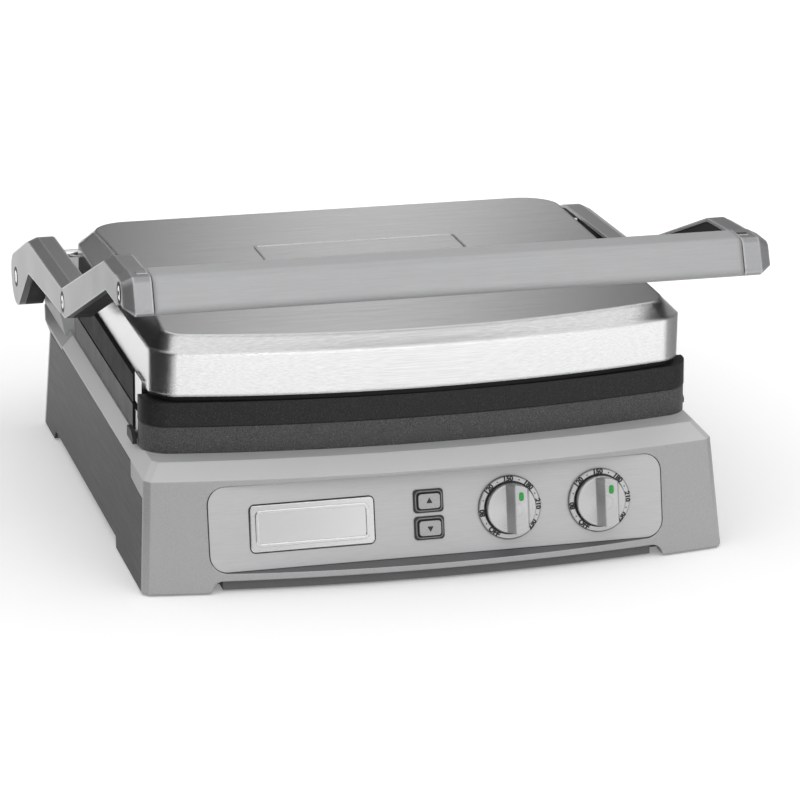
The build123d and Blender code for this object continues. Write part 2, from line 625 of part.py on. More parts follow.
def liner_outline():
    shape = crank_outline() + grip_outline()
    inner = shape & (Pos(0, -ARM_SKIN) * shape)
    return inner & tile(LINER_FRONT, HINGE_Y + LUG_RADIUS, 0, HANDLE_TOP)


def arm_screw_places():
    handle = (HANDLE_REAR - 14.4, HANDLE_TOP - 12.7)
    crank = (VALLEY_Y - 4, VALLEY_Z - 11.9)
    return [(y, z, ARM_OUTSIDE + flare_at(y)) for y, z in ((HINGE_Y, HINGE_Z), crank, handle)]


# In front of the valley the arm leans outward as it climbs to the handle's end
def flare_at(y):
    return ARM_FLARE * max(0, VALLEY_Y - y) / (VALLEY_Y - HANDLE_FRONT)


def liner_body(inner):
    outer = ARM_OUTSIDE - ARM_SIDE_WALL
    far = 2 * HINGE_Y
    strip = [(inner, far), (inner, VALLEY_Y), (inner + ARM_FLARE, HANDLE_FRONT),
             (outer + ARM_FLARE, HANDLE_FRONT), (outer, VALLEY_Y), (outer, far)]
    plan = slab(make_face(Polyline(*strip, close=True)), 0, far)
    return side_slab(liner_outline(), inner, outer + ARM_FLARE) & plan


def make_arm():
    far = 2 * HINGE_Y
    pocket = liner_body(ARM_INSIDE - 1)
    rear = chamfered_slab(crank_outline() & tile(VALLEY_Y, far, 0, far), -ARM_CHAMFER_DROP)
    front = chamfered_slab(crank_outline() & tile(-far, VALLEY_Y + 0.01, 0, far), -ARM_CHAMFER_DROP)
    front += chamfered_slab(grip_outline(), -ARM_CHAMFER_DROP, CAP_CHAMFER_RISE)
    hub = Pos(ARM_INSIDE, VALLEY_Y, 0)
    lean = degrees(atan(ARM_FLARE / (VALLEY_Y - HANDLE_FRONT)))
    front = hub * Rot(0, 0, lean) * hub.inverse() * front
    arm = (rear - pocket) + (front - pocket)
    for y, z, face in arm_screw_places():
        arm -= x_rod(SCREW_RADIUS + SEAM / 2, face - SCREW_HEAD, face + 5, y, z)
    for y, z, face in arm_screw_places()[1:]:
        arm -= x_rod(SCREW_SHANK + RUNNING_FIT, face - SCREW_LENGTH - SEAM, face, y, z)
    return arm


def make_liner():
    liner = liner_body(ARM_INSIDE + LINER_RECESS)
    liner -= x_rod(HINGE_PIN_RADIUS + RUNNING_FIT + BUSH_WALL, 0, ARM_OUTSIDE, HINGE_Y, HINGE_Z)
    liner -= x_rod(ROD_RADIUS + RUNNING_FIT, 0, ARM_INSIDE + ROD_SOCKET, PIVOT_Y, PIVOT_Z)
    for y, z, face in arm_screw_places()[1:2]:
        liner -= x_rod(SCREW_SHANK + RUNNING_FIT, face - SCREW_LENGTH - SEAM, face, y, z)
    return liner


def make_arm_screws():
    solids = []
    for n, (y, z, face) in enumerate(arm_screw_places()):
        screw = x_rod(SCREW_RADIUS, face - SCREW_HEAD + RUNNING_FIT, face + SCREW_PROUD, y, z)
        screw = chamfer(screw.faces().sort_by(Axis.X)[-1].edges(), SCREW_PROUD)
        if n > 0:
            screw += x_rod(SCREW_SHANK, face - SCREW_LENGTH, face - SCREW_HEAD + 1, y, z)
        solids += screw.solids()
    return both_sides(Compound(solids))


def make_handle():
    half = HANDLE_HALF
    bar = side_slab(grip_outline(), -half, half)
    return bar - side_slab(offset(grip_outline(), -HANDLE_WALL), -half - 1, half + 1)


def make_rod():
    reach = ARM_INSIDE + ROD_SOCKET - SEAM
    return x_rod(ROD_RADIUS, -reach, reach, PIVOT_Y, PIVOT_Z)


# Cooking plates: bowed front, corners that wrap round, ribs along Y
def plate_face(inset, z):
    half = PLATE_WIDTH / 2 - inset
    front = PLATE_FRONT + inset
    radius = PLATE_RADIUS - inset
    wide = tile(-half, half, front - 5, PLATE_STEP) & (Pos(0, front + radius) * Circle(radius))
    wide = fillet(wide.vertices().group_by(Axis.Y)[0], PLATE_CORNER)
    body = PLATE_BODY_WIDTH / 2
    return Pos(0, 0, z) * (wide + tile(-body, body, PLATE_STEP - 10, PLATE_REAR))


def floor_tile(extra):
    half = PLATE_WIDTH / 2 - PLATE_MARGIN - extra
    front = PLATE_FRONT + PLATE_MARGIN + extra
    rear = PLATE_REAR - PLATE_MARGIN / 2 - extra
    return (half, front, rear)


def ribs(base, crest):
    half, front, rear = floor_tile(RIB_END_GAP)
    count = int(2 * half / RIB_PITCH)
    solids = Part()
    for n in range(count + 1):
        x = (n - count / 2) * RIB_PITCH
        if abs(x) + RIB_FOOT / 2 < half:
            section = [(x - RIB_FOOT / 2, base), (x - RIB_CREST / 2, crest), (x + RIB_CREST / 2, crest),
                       (x + RIB_FOOT / 2, base)]
            solids += extrude(Plane.XZ.offset(-rear) * make_face(Polyline(*section, close=True)), rear - front)
    return solids


def plate_body(low, high):
    return loft([plate_face(0, low), plate_face(PLATE_DRAFT, high)], ruled=True)


def clip_notch(z0, z1):
    x = PLATE_BODY_WIDTH / 2
    notch = block(x - CLIP_NOSE - SEAM, x + 1, CLIP_FRONT - SEAM, CLIP_REAR + SEAM, z0 - SEAM, z1 + SEAM)
    return notch + mirror(notch, about=Plane.YZ)


def make_lower_plate():
    half, front, rear = floor_tile(0)
    floor = PLATE_LOW_TOP - FLOOR_DEPTH
    plate = plate_body(RIM_TOP, PLATE_LOW_TOP)
    plate -= slab(tile(-half, half, front, rear, 12), floor, PLATE_LOW_TOP + 1)
    plate += ribs(floor - 0.5, floor + RIB_HEIGHT)
    plate -= slab(tile(-half, half, front, rear, 12), RIM_TOP - 1, floor - PLATE_WEB)
    spout = block(-DRAIN_WIDTH / 4, DRAIN_WIDTH / 4, rear - 1, PLATE_REAR + 1, floor, PLATE_LOW_TOP + 1)
    return plate - spout - clip_notch(*LOWER_NOSE)


def make_upper_plate():
    half, front, rear = floor_tile(0)
    floor = PLATE_UP_LOW + FLOOR_DEPTH
    plate = plate_body(PLATE_UP_LOW, PLATE_UP_TOP)
    plate -= slab(tile(-half, half, front, rear, 12), PLATE_UP_LOW - 1, floor)
    plate += ribs(floor + 0.5, floor - RIB_HEIGHT)
    plate -= slab(tile(-half, half, front, rear, 12), floor + PLATE_WEB, PLATE_UP_TOP + 1)
    return plate - clip_notch(*UPPER_NOSE)


# Corner clips that hold each plate, and the finger tab of the lower ones
LOWER_NOSE = (RIM_TOP + 7, RIM_TOP + 11)
UPPER_NOSE = (PLATE_UP_LOW + 6, PLATE_UP_LOW + 10)


def clip_blade(low, high, nose):
    x = PLATE_BODY_WIDTH / 2 + SEAM
    blade = block(x, x + CLIP_THICKNESS, CLIP_FRONT, CLIP_REAR, low, high)
    tongue = block(x - CLIP_NOSE - SEAM, x, CLIP_FRONT + 2, CLIP_REAR - 2, nose[0] + SEAM, nose[1] - SEAM)
    return blade + tongue


def make_lower_clip():
    clip = clip_blade(RIM_TOP + SEAM, LOWER_CLIP_TOP, LOWER_NOSE)
    x = PLATE_BODY_WIDTH / 2 + SEAM + CLIP_THICKNESS
    reach = PLATE_WIDTH / 2 + SEAM - x
    return clip + block(x, x + reach, CLIP_FRONT, CLIP_FRONT + 4, RIM_TOP + 2, RIM_TOP + TAB_HEIGHT - 1)


def make_clip_tab():
    x = PLATE_WIDTH / 2 + SEAM
    low = RIM_TOP + SEAM
    section = outline([(TAB_REAR, low), (TAB_REAR, low + TAB_HEIGHT), (TAB_FRONT + 5, low + TAB_HEIGHT),
                       (TAB_FRONT, low + 3), (TAB_FRONT, low)], [1, 2, 2, 1, 0])
    return side_slab(section, x, x + TAB_THICKNESS)


def make_upper_clip():
    return clip_blade(UPPER_CLIP_LOW, UPPER_CLIP_HIGH, UPPER_NOSE)


# Frames: grey walls beside the plates
def make_lower_frame():
    top = RIM_TOP + LOWER_FRAME_HEIGHT
    frame = slab(tile(-FRAME_OUT, FRAME_OUT, FRAME_FRONT, LOWER_FRAME_REAR), RIM_TOP, top)
    frame -= slab(tile(-FRAME_IN, FRAME_IN, FRAME_FRONT - 1, LOWER_FRAME_REAR - FRAME_WALL), RIM_TOP - 1, top + 1)
    return frame - block(-FRAME_IN, FRAME_IN, 0, LOWER_FRAME_REAR + 1, RIM_TOP + LOWER_FRAME_BAR, top + 1)


def cover_face(inset, z):
    half = COVER_WIDTH / 2 - inset
    front = COVER_FRONT + inset
    radius = COVER_RADIUS - inset
    rear = COVER_REAR - inset
    face = tile(-half, half, front - 5, rear) & (Pos(0, front + radius) * Circle(radius))
    face = fillet(face.vertices().group_by(Axis.Y)[0], COVER_CORNER - inset / 2)
    face = fillet(face.vertices().group_by(Axis.Y)[-1], COVER_REAR_CORNER - inset / 2)
    return Pos(0, 0, z) * face


def make_upper_frame():
    inset = COVER_SHEET + SEAM
    web = slab(cover_face(inset, 0), WEB_LOW, WEB_TOP)
    web += slab(cover_face(inset, 0) - cover_face(inset + COVER_SHEET, 0), WEB_TOP, COVER_LOW + 6)
    inner = FRAME_IN - 0.5
    low = COVER_LOW - COVER_GAP - UPPER_FRAME_DROP - WEB_THICKNESS
    wall = block(inner, inner + FRAME_WALL, FRAME_FRONT, UPPER_FRAME_REAR, low, WEB_TOP)
    web += wall + mirror(wall, about=Plane.YZ)
    outer = inner + FRAME_WALL
    web += slab(tile(-outer, outer, FRAME_FRONT, UPPER_FRAME_REAR), WEB_LOW, WEB_TOP)
    half = WELL_WIDTH / 2
    web -= slab(tile(-half, half, WELL_FRONT, WELL_REAR, WELL_CORNER), WEB_LOW - 1, WEB_TOP + 1)
    clip = PLATE_BODY_WIDTH / 2
    room = block(clip, clip + CLIP_THICKNESS + CLIP_TRAVEL + 4, CLIP_FRONT - SEAM, CLIP_REAR + SEAM, WEB_LOW - 1, COVER_LOW + 10)
    return web - room - mirror(room, about=Plane.YZ)


# Heaters: one tube bent back and forth, with both ends turned through the reflector
def make_heater(z, leg):
    half = HEATER_SPAN / 2
    middle = (WELL_FRONT + WELL_REAR) / 2
    points = [(half, middle - HEATER_PITCH * (HEATER_RUNS - 1) / 2, z + leg)]
    for n in range(HEATER_RUNS):
        y = middle + (n - (HEATER_RUNS - 1) / 2) * HEATER_PITCH
        side = 1 if n % 2 == 0 else -1
        points += [(side * half, y, z), (-side * half, y, z)]
    points.append((points[-1][0], points[-1][1], z + leg))
    path = FilletPolyline(*points, radius=3 * HEATER_RADIUS)
    start = Plane(origin=path @ 0, z_dir=path % 0)
    return sweep(start * Circle(HEATER_RADIUS), path=path)


def heater_holes(z0, z1):
    half = HEATER_SPAN / 2
    middle = (WELL_FRONT + WELL_REAR) / 2
    reach = HEATER_PITCH * (HEATER_RUNS - 1) / 2
    hole = Circle(HEATER_RADIUS + RUNNING_FIT)
    return slab(Pos(half, middle - reach) * hole + Pos(half, middle + reach) * hole, z0, z1)


def make_lower_reflector():
    half = WELL_WIDTH / 2
    g = SEAM
    flange = tile(-half - FLANGE, half + FLANGE, WELL_FRONT - FLANGE, WELL_REAR + FLANGE, WELL_CORNER + FLANGE)
    pan = slab(tile(-half + g, half - g, WELL_FRONT + g, WELL_REAR - g, WELL_CORNER - g),
               RIM_TOP - REFLECTOR_DEPTH, RIM_TOP)
    pan += slab(flange, RIM_TOP - SHEET, RIM_TOP)
    g += SHEET
    pan -= slab(tile(-half + g, half - g, WELL_FRONT + g, WELL_REAR - g, WELL_CORNER - g),
                RIM_TOP - REFLECTOR_DEPTH + SHEET, RIM_TOP + 1)
    return pan - heater_holes(RIM_TOP - 2 * REFLECTOR_DEPTH, RIM_TOP)


def make_upper_reflector():
    half = WELL_WIDTH / 2
    g = SEAM
    flange = tile(-half - FLANGE, half + FLANGE, WELL_FRONT - FLANGE, WELL_REAR + FLANGE, WELL_CORNER + FLANGE)
    top = WEB_TOP + REFLECTOR_DEPTH
    pan = slab(tile(-half + g, half - g, WELL_FRONT + g, WELL_REAR - g, WELL_CORNER - g), WEB_TOP, top)
    pan += slab(flange, WEB_TOP, WEB_TOP + SHEET)
    g += SHEET
    pan -= slab(tile(-half + g, half - g, WELL_FRONT + g, WELL_REAR - g, WELL_CORNER - g), WEB_TOP - 1, top - SHEET)
    return pan - heater_holes(WEB_TOP, top + 1)


# Cover: a sheet shell with upright sides, a sloping edge and a crowned top
def crown(drop):
    front = COVER_FRONT + 11
    reach = COVER_REAR + 60
    arc = ThreePointArc((front, CROWN_FRONT - drop), (0, CROWN_MIDDLE - drop), (COVER_REAR - 10, CROWN_REAR - drop))
    edge = [arc, Line((COVER_REAR - 10, CROWN_REAR - drop), (reach, CROWN_REAR - 6 - drop)),
            Line((reach, CROWN_REAR - 6 - drop), (reach, 0)), Line((reach, 0), (-reach, 0)),
            Line((-reach, 0), (-reach, CROWN_FRONT - 8 - drop)),
            Line((-reach, CROWN_FRONT - 8 - drop), (front, CROWN_FRONT - drop))]
    return side_slab(make_face(edge), -COVER_WIDTH, COVER_WIDTH)


def cover_block(inset, drop, low):
    wall = slab(cover_face(inset, 0), low, COVER_SHOULDER)
    edge = loft([cover_face(inset, COVER_SHOULDER), cover_face(inset + BEVEL_RUN, COVER_SHOULDER + BEVEL_HEIGHT)],
                ruled=True)
    return (wall + edge) & crown(drop)


def make_cover():
    shell = cover_block(0, 0, COVER_LOW) - cover_block(COVER_SHEET, COVER_SHEET, COVER_LOW - 1)
    half = COVER_WIDTH / 2
    notch = block(half - 3 * COVER_SHEET, half + 1, CLIP_FRONT - SEAM, CLIP_REAR + SEAM,
                  COVER_LOW - 1, UPPER_CLIP_HIGH + SEAM)
    shell -= notch + mirror(notch, about=Plane.YZ)
    return shell - x_rod(ROD_RADIUS + ROD_ROOM, -half, half, PIVOT_Y, PIVOT_Z)


def make_cheek():
    top = PIVOT_Z + 2 * ROD_RADIUS
    rear = PIVOT_Y + 2 * ROD_RADIUS
    section = outline([(CHEEK_FRONT, WEB_TOP), (CHEEK_FRONT, WEB_TOP + 6), (PIVOT_Y - 8, top), (rear, top),
                       (rear, WEB_TOP)], [0, 4, 6, 5, 0])
    cheek = side_slab(section, CHEEK_OUTSIDE - CHEEK_THICKNESS, CHEEK_OUTSIDE)
    return cheek - x_rod(ROD_RADIUS + RUNNING_FIT, 0, ARM_OUTSIDE, PIVOT_Y, PIVOT_Z)


# Drip tray at the rear, and the cord inlet
def make_tray():
    half = TRAY_WIDTH / 2
    top = TRAY_FLOOR + TRAY_HEIGHT
    t = TRAY_WALL
    m = TRAY_FACE_MARGIN
    tray = block(-half, half, TRAY_FRONT, BASE_REAR + SLIDE_FIT, TRAY_FLOOR, top)
    tray -= block(-half + t, half - t, TRAY_FRONT + t, BASE_REAR - t, TRAY_FLOOR + t, top + 1)
    tray += block(-half - m, half + m, BASE_REAR + SLIDE_FIT, BASE_REAR + SLIDE_FIT + TRAY_FACE,
                  TRAY_FLOOR - m, top + m)
    return tray


def make_inlet():
    ring = Circle(INLET_RADIUS) - Circle(INLET_BORE)
    neck = Circle(INLET_RADIUS - 2 - SEAM) - Circle(INLET_BORE)
    place = Pos(INLET_X, INLET_Z)
    gland = extrude(Plane.XZ.offset(-BASE_REAR) * place * ring, -5)
    return gland + extrude(Plane.XZ.offset(-BASE_REAR) * place * neck, HOUSING_WALL + 3)


# Assembly
NODES = {
    "base_housing": make_housing(),
    "bottom_pan": make_bottom_pan(),
    "rubber_feet": make_feet(),
    "control_panel": make_control_panel(),
    "badge_plate": make_badge(),
    "button_bezels": make_bezels(),
    "button_upper": make_button(BUTTON_V[0]),
    "button_lower": make_button(BUTTON_V[1]),
    "dial_rings": make_dial_rings(),
    "knob_lower": make_knob(DIAL_X[0]),
    "knob_upper": make_knob(DIAL_X[1]),
    "led_lower": make_led(DIAL_X[0]),
    "led_upper": make_led(DIAL_X[1]),
    "thermostats": make_thermostats(),
    "control_board": make_board(),
    "lower_plate": make_lower_plate(),
    "lower_frame": make_lower_frame(),
    "lower_heater": make_heater(RIM_TOP + 0.5, -HEATER_LEG),
    "lower_reflector": make_lower_reflector(),
    "drip_tray": make_tray(),
    "cord_inlet": make_inlet(),
    "hinge_pins": both_sides(make_hinge_pin()),
    "handle_bar": make_handle(),
    "pivot_rod": make_rod(),
    "arm_screws": make_arm_screws(),
    "cover_shell": make_cover(),
    "upper_frame": make_upper_frame(),
    "upper_plate": make_upper_plate(),
    "upper_heater": make_heater(WEB_TOP - 1.2, HEATER_LEG),
    "upper_reflector": make_upper_reflector(),
}
HANDED = {
    "side_panel": make_side_panel(),
    "hinge_tower": make_tower(),
    "arm": make_arm(),
    "arm_liner": make_liner(),
    "hinge_bush": make_bush(),
    "pivot_cheek": make_cheek(),
    "lower_clip": make_lower_clip(),
    "lower_clip_tab": make_clip_tab(),
    "upper_clip": make_upper_clip(),
}
for node, shape in NODES.items():
    save(shape, node)
for node, shape in HANDED.items():
    save(shape, f"{node}_right")
    save(mirror(shape, about=Plane.YZ), f"{node}_left")
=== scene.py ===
import json
import math

import bpy
from mathutils import Matrix, Vector


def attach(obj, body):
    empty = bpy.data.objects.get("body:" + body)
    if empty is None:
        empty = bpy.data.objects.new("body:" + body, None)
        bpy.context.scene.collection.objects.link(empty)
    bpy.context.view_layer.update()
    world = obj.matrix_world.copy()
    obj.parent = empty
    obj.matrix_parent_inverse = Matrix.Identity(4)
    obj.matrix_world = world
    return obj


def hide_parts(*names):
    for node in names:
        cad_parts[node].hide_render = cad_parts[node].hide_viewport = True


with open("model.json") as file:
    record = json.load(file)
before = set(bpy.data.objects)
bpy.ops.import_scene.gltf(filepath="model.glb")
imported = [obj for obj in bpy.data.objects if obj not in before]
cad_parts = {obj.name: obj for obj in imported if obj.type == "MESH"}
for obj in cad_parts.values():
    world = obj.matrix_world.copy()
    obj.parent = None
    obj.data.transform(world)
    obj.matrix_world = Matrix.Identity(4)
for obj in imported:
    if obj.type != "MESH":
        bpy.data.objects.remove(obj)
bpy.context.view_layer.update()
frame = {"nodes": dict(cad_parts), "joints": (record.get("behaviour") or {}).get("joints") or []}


# Base housing: one die-cast tub with a bowed front and a sloping rim, in satin
# silver-grey paint over a fine cast grain, with a painted highlight along its edges.
# The rim's upward slopes carry a painted highlight, and the ledge and undersides
# painted shade.
def new_finish(name):
    finish = bpy.data.materials.new(name)
    finish.use_nodes = True
    tree = finish.node_tree
    return finish, tree.nodes, tree.links, tree.nodes["Principled BSDF"]


def dress(finish, *names):
    for name in names:
        node = frame["nodes"][name]
        node.data.materials.clear()
        node.data.materials.append(finish)


def new_group(name, inputs, outputs):
    group = bpy.data.node_groups.new(name, "ShaderNodeTree")
    for label, kind, value in inputs:
        socket = group.interface.new_socket(label, in_out="INPUT", socket_type=kind)
        socket.default_value = value
    for label, kind in outputs:
        group.interface.new_socket(label, in_out="OUTPUT", socket_type=kind)
    entry = group.nodes.new("NodeGroupInput")
    leave = group.nodes.new("NodeGroupOutput")
    return group, group.nodes, group.links, entry.outputs, leave.inputs


def put(links, source, target):
    if isinstance(source, bpy.types.NodeSocket):
        links.new(source, target)
    elif target.type == "RGBA":
        target.default_value = (*source, 1.0)
    else:
        target.default_value = source


def use_group(nodes, links, group, values):
    node = nodes.new("ShaderNodeGroup")
    node.node_tree = group
    for label, value in values.items():
        put(links, value, node.inputs[label])
    return node.outputs


def mix_colours(nodes, links, share, first, second):
    mix = nodes.new("ShaderNodeMix")
    mix.data_type = "RGBA"
    put(links, share, mix.inputs[0])
    put(links, first, mix.inputs[6])
    put(links, second, mix.inputs[7])
    return mix.outputs[2]


def reckon(nodes, links, kind, first, second=0.0):
    step = nodes.new("ShaderNodeMath")
    step.operation = kind
    put(links, first, step.inputs[0])
    put(links, second, step.inputs[1])
    return step.outputs[0]


def vector_step(nodes, links, kind, *parts):
    step = nodes.new("ShaderNodeVectorMath")
    step.operation = kind
    for part, socket in zip(parts, step.inputs):
        put(links, part, socket)
    gives_number = kind in ("DOT_PRODUCT", "DISTANCE", "LENGTH")
    return step.outputs["Value" if gives_number else "Vector"]


def split(nodes, links, vector):
    parts = nodes.new("ShaderNodeSeparateXYZ")
    links.new(vector, parts.inputs[0])
    return parts.outputs


def spread(nodes, links, value, low, high, first=0.0, last=1.0, bend="LINEAR"):
    span = nodes.new("ShaderNodeMapRange")
    span.interpolation_type = bend
    span.inputs["From Min"].default_value = low
    span.inputs["From Max"].default_value = high
    span.inputs["To Min"].default_value = first
    span.inputs["To Max"].default_value = last
    links.new(value, span.inputs["Value"])
    return span.outputs["Result"]


def own_place(nodes):
    return nodes.new("ShaderNodeTexCoord").outputs["Object"]


def noise(nodes, links, place, scale, detail=2.0, roughness=0.5):
    texture = nodes.new("ShaderNodeTexNoise")
    texture.inputs["Detail"].default_value = detail
    texture.inputs["Roughness"].default_value = roughness
    links.new(place, texture.inputs["Vector"])
    put(links, scale, texture.inputs["Scale"])
    return texture.outputs["Fac"]


def drifting(nodes, links, value, texture, amount):
    drift = reckon(nodes, links, "SUBTRACT", texture, 0.5)
    drift = reckon(nodes, links, "MULTIPLY", drift, amount)
    return reckon(nodes, links, "ADD", value, drift)


# Painted edge highlight: where the rounded normal turns away from the flat one, edges get a painted
# highlight for the light caught on rounded edges.
edge_highlight_group, nodes, links, given, gives = new_group(
    "Painted edge highlight",
    [("Rounded normal", "NodeSocketVector", (0.0, 0.0, 1.0)),
     ("Amount", "NodeSocketFloat", 0.5)],
    [("Mask", "NodeSocketFloat")])
flat_normal = nodes.new("ShaderNodeNewGeometry").outputs["True Normal"]
meet = vector_step(nodes, links, "DOT_PRODUCT", given["Rounded normal"], flat_normal)
turn = reckon(nodes, links, "SUBTRACT", 1.0, meet)
edge_sheen = spread(nodes, links, turn, 0.006, 0.06)
links.new(reckon(nodes, links, "MULTIPLY", edge_sheen, given["Amount"]), gives["Mask"])

surface = [("Colour", "NodeSocketColor"), ("Roughness", "NodeSocketFloat"),
           ("Height", "NodeSocketFloat")]
paint_grain, nodes, links, given, gives = new_group(
    "Cast paint grain",
    [("Colour", "NodeSocketColor", (0.4, 0.4, 0.41, 1.0)),
     ("Flake", "NodeSocketColor", (0.6, 0.6, 0.6, 1.0)),
     ("Grain size", "NodeSocketFloat", 1300.0),
     ("Roughness", "NodeSocketFloat", 0.4),
     ("Roughness spread", "NodeSocketFloat", 0.15)],
    surface)
place = own_place(nodes)
grain = noise(nodes, links, place, given["Grain size"])
cloud = noise(nodes, links, place, 22.0)
flakes = spread(nodes, links, grain, 0.34, 0.66)
links.new(mix_colours(nodes, links, flakes, given["Colour"], given["Flake"]), gives["Colour"])
links.new(drifting(nodes, links, given["Roughness"], cloud, given["Roughness spread"]),
          gives["Roughness"])
links.new(grain, gives["Height"])


def rounded_relief(nodes, links, skin, height, rounding, bump):
    edge = nodes.new("ShaderNodeBevel")
    edge.samples = 4
    edge.inputs["Radius"].default_value = rounding
    relief = nodes.new("ShaderNodeBump")
    relief.inputs["Strength"].default_value = bump
    relief.inputs["Distance"].default_value = 0.0002
    links.new(edge.outputs["Normal"], relief.inputs["Normal"])
    links.new(height, relief.inputs["Height"])
    links.new(relief.outputs["Normal"], skin.inputs["Normal"])
    return edge.outputs["Normal"]


# Mixes the painted edge highlight into a colour.
def highlight_edges(nodes, links, normal, colour, highlight_tone, amount):
    highlight = use_group(nodes, links, edge_highlight_group, {"Rounded normal": normal, "Amount": amount})
    return mix_colours(nodes, links, highlight["Mask"], colour, highlight_tone)


def painted(name, colour, flake, roughness, metallic, rounding, bump=0.12, highlight=0.35, highlight_gain=1.5):
    finish, nodes, links, skin = new_finish(name)
    grain = use_group(nodes, links, paint_grain,
                      {"Colour": colour, "Flake": flake, "Roughness": roughness})
    normal = rounded_relief(nodes, links, skin, grain["Height"], rounding, bump)
    # Painted highlight tone for the edges, lifted from the flake tone.
    highlight_tone = [min(1.0, highlight_gain * part) for part in flake]
    tone = highlight_edges(nodes, links, normal, grain["Colour"], highlight_tone, highlight)
    links.new(tone, skin.inputs["Base Color"])
    links.new(grain["Roughness"], skin.inputs["Roughness"])
    skin.inputs["Metallic"].default_value = metallic
    return finish


def reopen(finish):
    nodes, links = finish.node_tree.nodes, finish.node_tree.links
    skin = nodes["Principled BSDF"]
    paint = skin.inputs["Base Color"].links[0].from_socket
    spots = nodes.new("ShaderNodeTexCoord")
    facing = split(nodes, links, spots.outputs["Normal"])
    where = split(nodes, links, spots.outputs["Object"])
    return nodes, links, skin, paint, facing, where


housing_paint = painted("housing_paint", colour=(0.4, 0.402, 0.407), flake=(0.455, 0.457, 0.462),
                        roughness=0.42, metallic=0.25, rounding=0.0012)
rim_highlight_tone = (0.66, 0.662, 0.667)
rim_highlight_strength = 0.75
rim_foot = 0.055
painted_shade_tone = (0.13, 0.131, 0.134)
ledge_top = 0.03
nodes, links, skin, silver, facing, where = reopen(housing_paint)
# Painted highlight: upward-sloping faces above the rim's foot are lightened.
high_up = spread(nodes, links, where["Z"], rim_foot, rim_foot + 0.005)
sloping = spread(nodes, links, facing["Z"], 0.25, 0.45)
rim = reckon(nodes, links, "MULTIPLY", high_up, sloping)
rim = reckon(nodes, links, "MULTIPLY", rim, rim_highlight_strength)
silver = mix_colours(nodes, links, rim, silver, rim_highlight_tone)
# Painted shade: the level ledge low on the front and the faces turned down are darkened.
level = spread(nodes, links, facing["Z"], 0.45, 0.6)
low_down = spread(nodes, links, where["Z"], ledge_top + 0.002, ledge_top)
ledge_shade = reckon(nodes, links, "MULTIPLY", level, low_down)
below = spread(nodes, links, facing["Z"], -0.3, -0.5)
housing_shade = reckon(nodes, links, "MAXIMUM", below, ledge_shade)
links.new(mix_colours(nodes, links, housing_shade, silver, painted_shade_tone), skin.inputs["Base Color"])
dress(housing_paint, "base_housing")


# Side panels: sheet steel let into the sides of the housing, brushed along the
# length of the press and darker than the castings. Brushed pieces share the
# same fine lines, each with its own direction.
brush_lines, nodes, links, given, gives = new_group(
    "Brushed lines",
    [("Colour", "NodeSocketColor", (0.5, 0.5, 0.5, 1.0)),
     ("Line", "NodeSocketColor", (0.4, 0.4, 0.4, 1.0)),
     ("Stretch", "NodeSocketVector", (20.0, 2500.0, 2500.0)),
     ("Roughness", "NodeSocketFloat", 0.3),
     ("Roughness spread", "NodeSocketFloat", 0.2)],
    surface)
along = vector_step(nodes, links, "MULTIPLY", own_place(nodes), given["Stretch"])
lines = noise(nodes, links, along, 1.0, detail=3.0, roughness=0.65)
strokes = spread(nodes, links, lines, 0.32, 0.68)
links.new(mix_colours(nodes, links, strokes, given["Colour"], given["Line"]), gives["Colour"])
links.new(drifting(nodes, links, given["Roughness"], lines, given["Roughness spread"]),
          gives["Roughness"])
links.new(lines, gives["Height"])


def brushed(name, colour, line, stretch, roughness, metallic, rounding, bump=0.1, highlight=0.2, highlight_gain=1.4):
    finish, nodes, links, skin = new_finish(name)
    brush = use_group(nodes, links, brush_lines,
                      {"Colour": colour, "Line": line, "Stretch": stretch, "Roughness": roughness})
    normal = rounded_relief(nodes, links, skin, brush["Height"], rounding, bump)
    tone = brush["Colour"]
    # Painted highlight along the edges, where one is asked for.
    if highlight:
        highlight_tone = [min(1.0, highlight_gain * part) for part in colour]
        tone = highlight_edges(nodes, links, normal, tone, highlight_tone, highlight)
    links.new(tone, skin.inputs["Base Color"])
    links.new(brush["Roughness"], skin.inputs["Roughness"])
    skin.inputs["Metallic"].default_value = metallic
    return finish


side_steel = brushed("side_steel", colour=(0.05, 0.051, 0.054), line=(0.031, 0.032, 0.034),
                     stretch=(2500.0, 25.0, 1800.0), roughness=0.48, metallic=0.4, rounding=0.0005)
dress(side_steel, "side_panel_left", "side_panel_right")


# Bottom pan and feet: a dark moulded pan closes the housing from below and its
# skirt shows in the recess under the front edge. Four rubber feet are pressed
# into it. The mouldings share a fine leathery texture.
mould_skin, nodes, links, given, gives = new_group(
    "Moulded skin",
    [("Colour", "NodeSocketColor", (0.03, 0.03, 0.032, 1.0)),
     ("Worn", "NodeSocketColor", (0.06, 0.06, 0.062, 1.0)),
     ("Texture size", "NodeSocketFloat", 1100.0),
     ("Roughness", "NodeSocketFloat", 0.5)],
    surface)
place = own_place(nodes)
cells = nodes.new("ShaderNodeTexVoronoi")
links.new(place, cells.inputs["Vector"])
links.new(given["Texture size"], cells.inputs["Scale"])
haze = noise(nodes, links, place, 60.0, detail=4.0)
links.new(mix_colours(nodes, links, haze, given["Colour"], given["Worn"]), gives["Colour"])
links.new(drifting(nodes, links, given["Roughness"], haze, 0.25), gives["Roughness"])
links.new(cells.outputs["Distance"], gives["Height"])


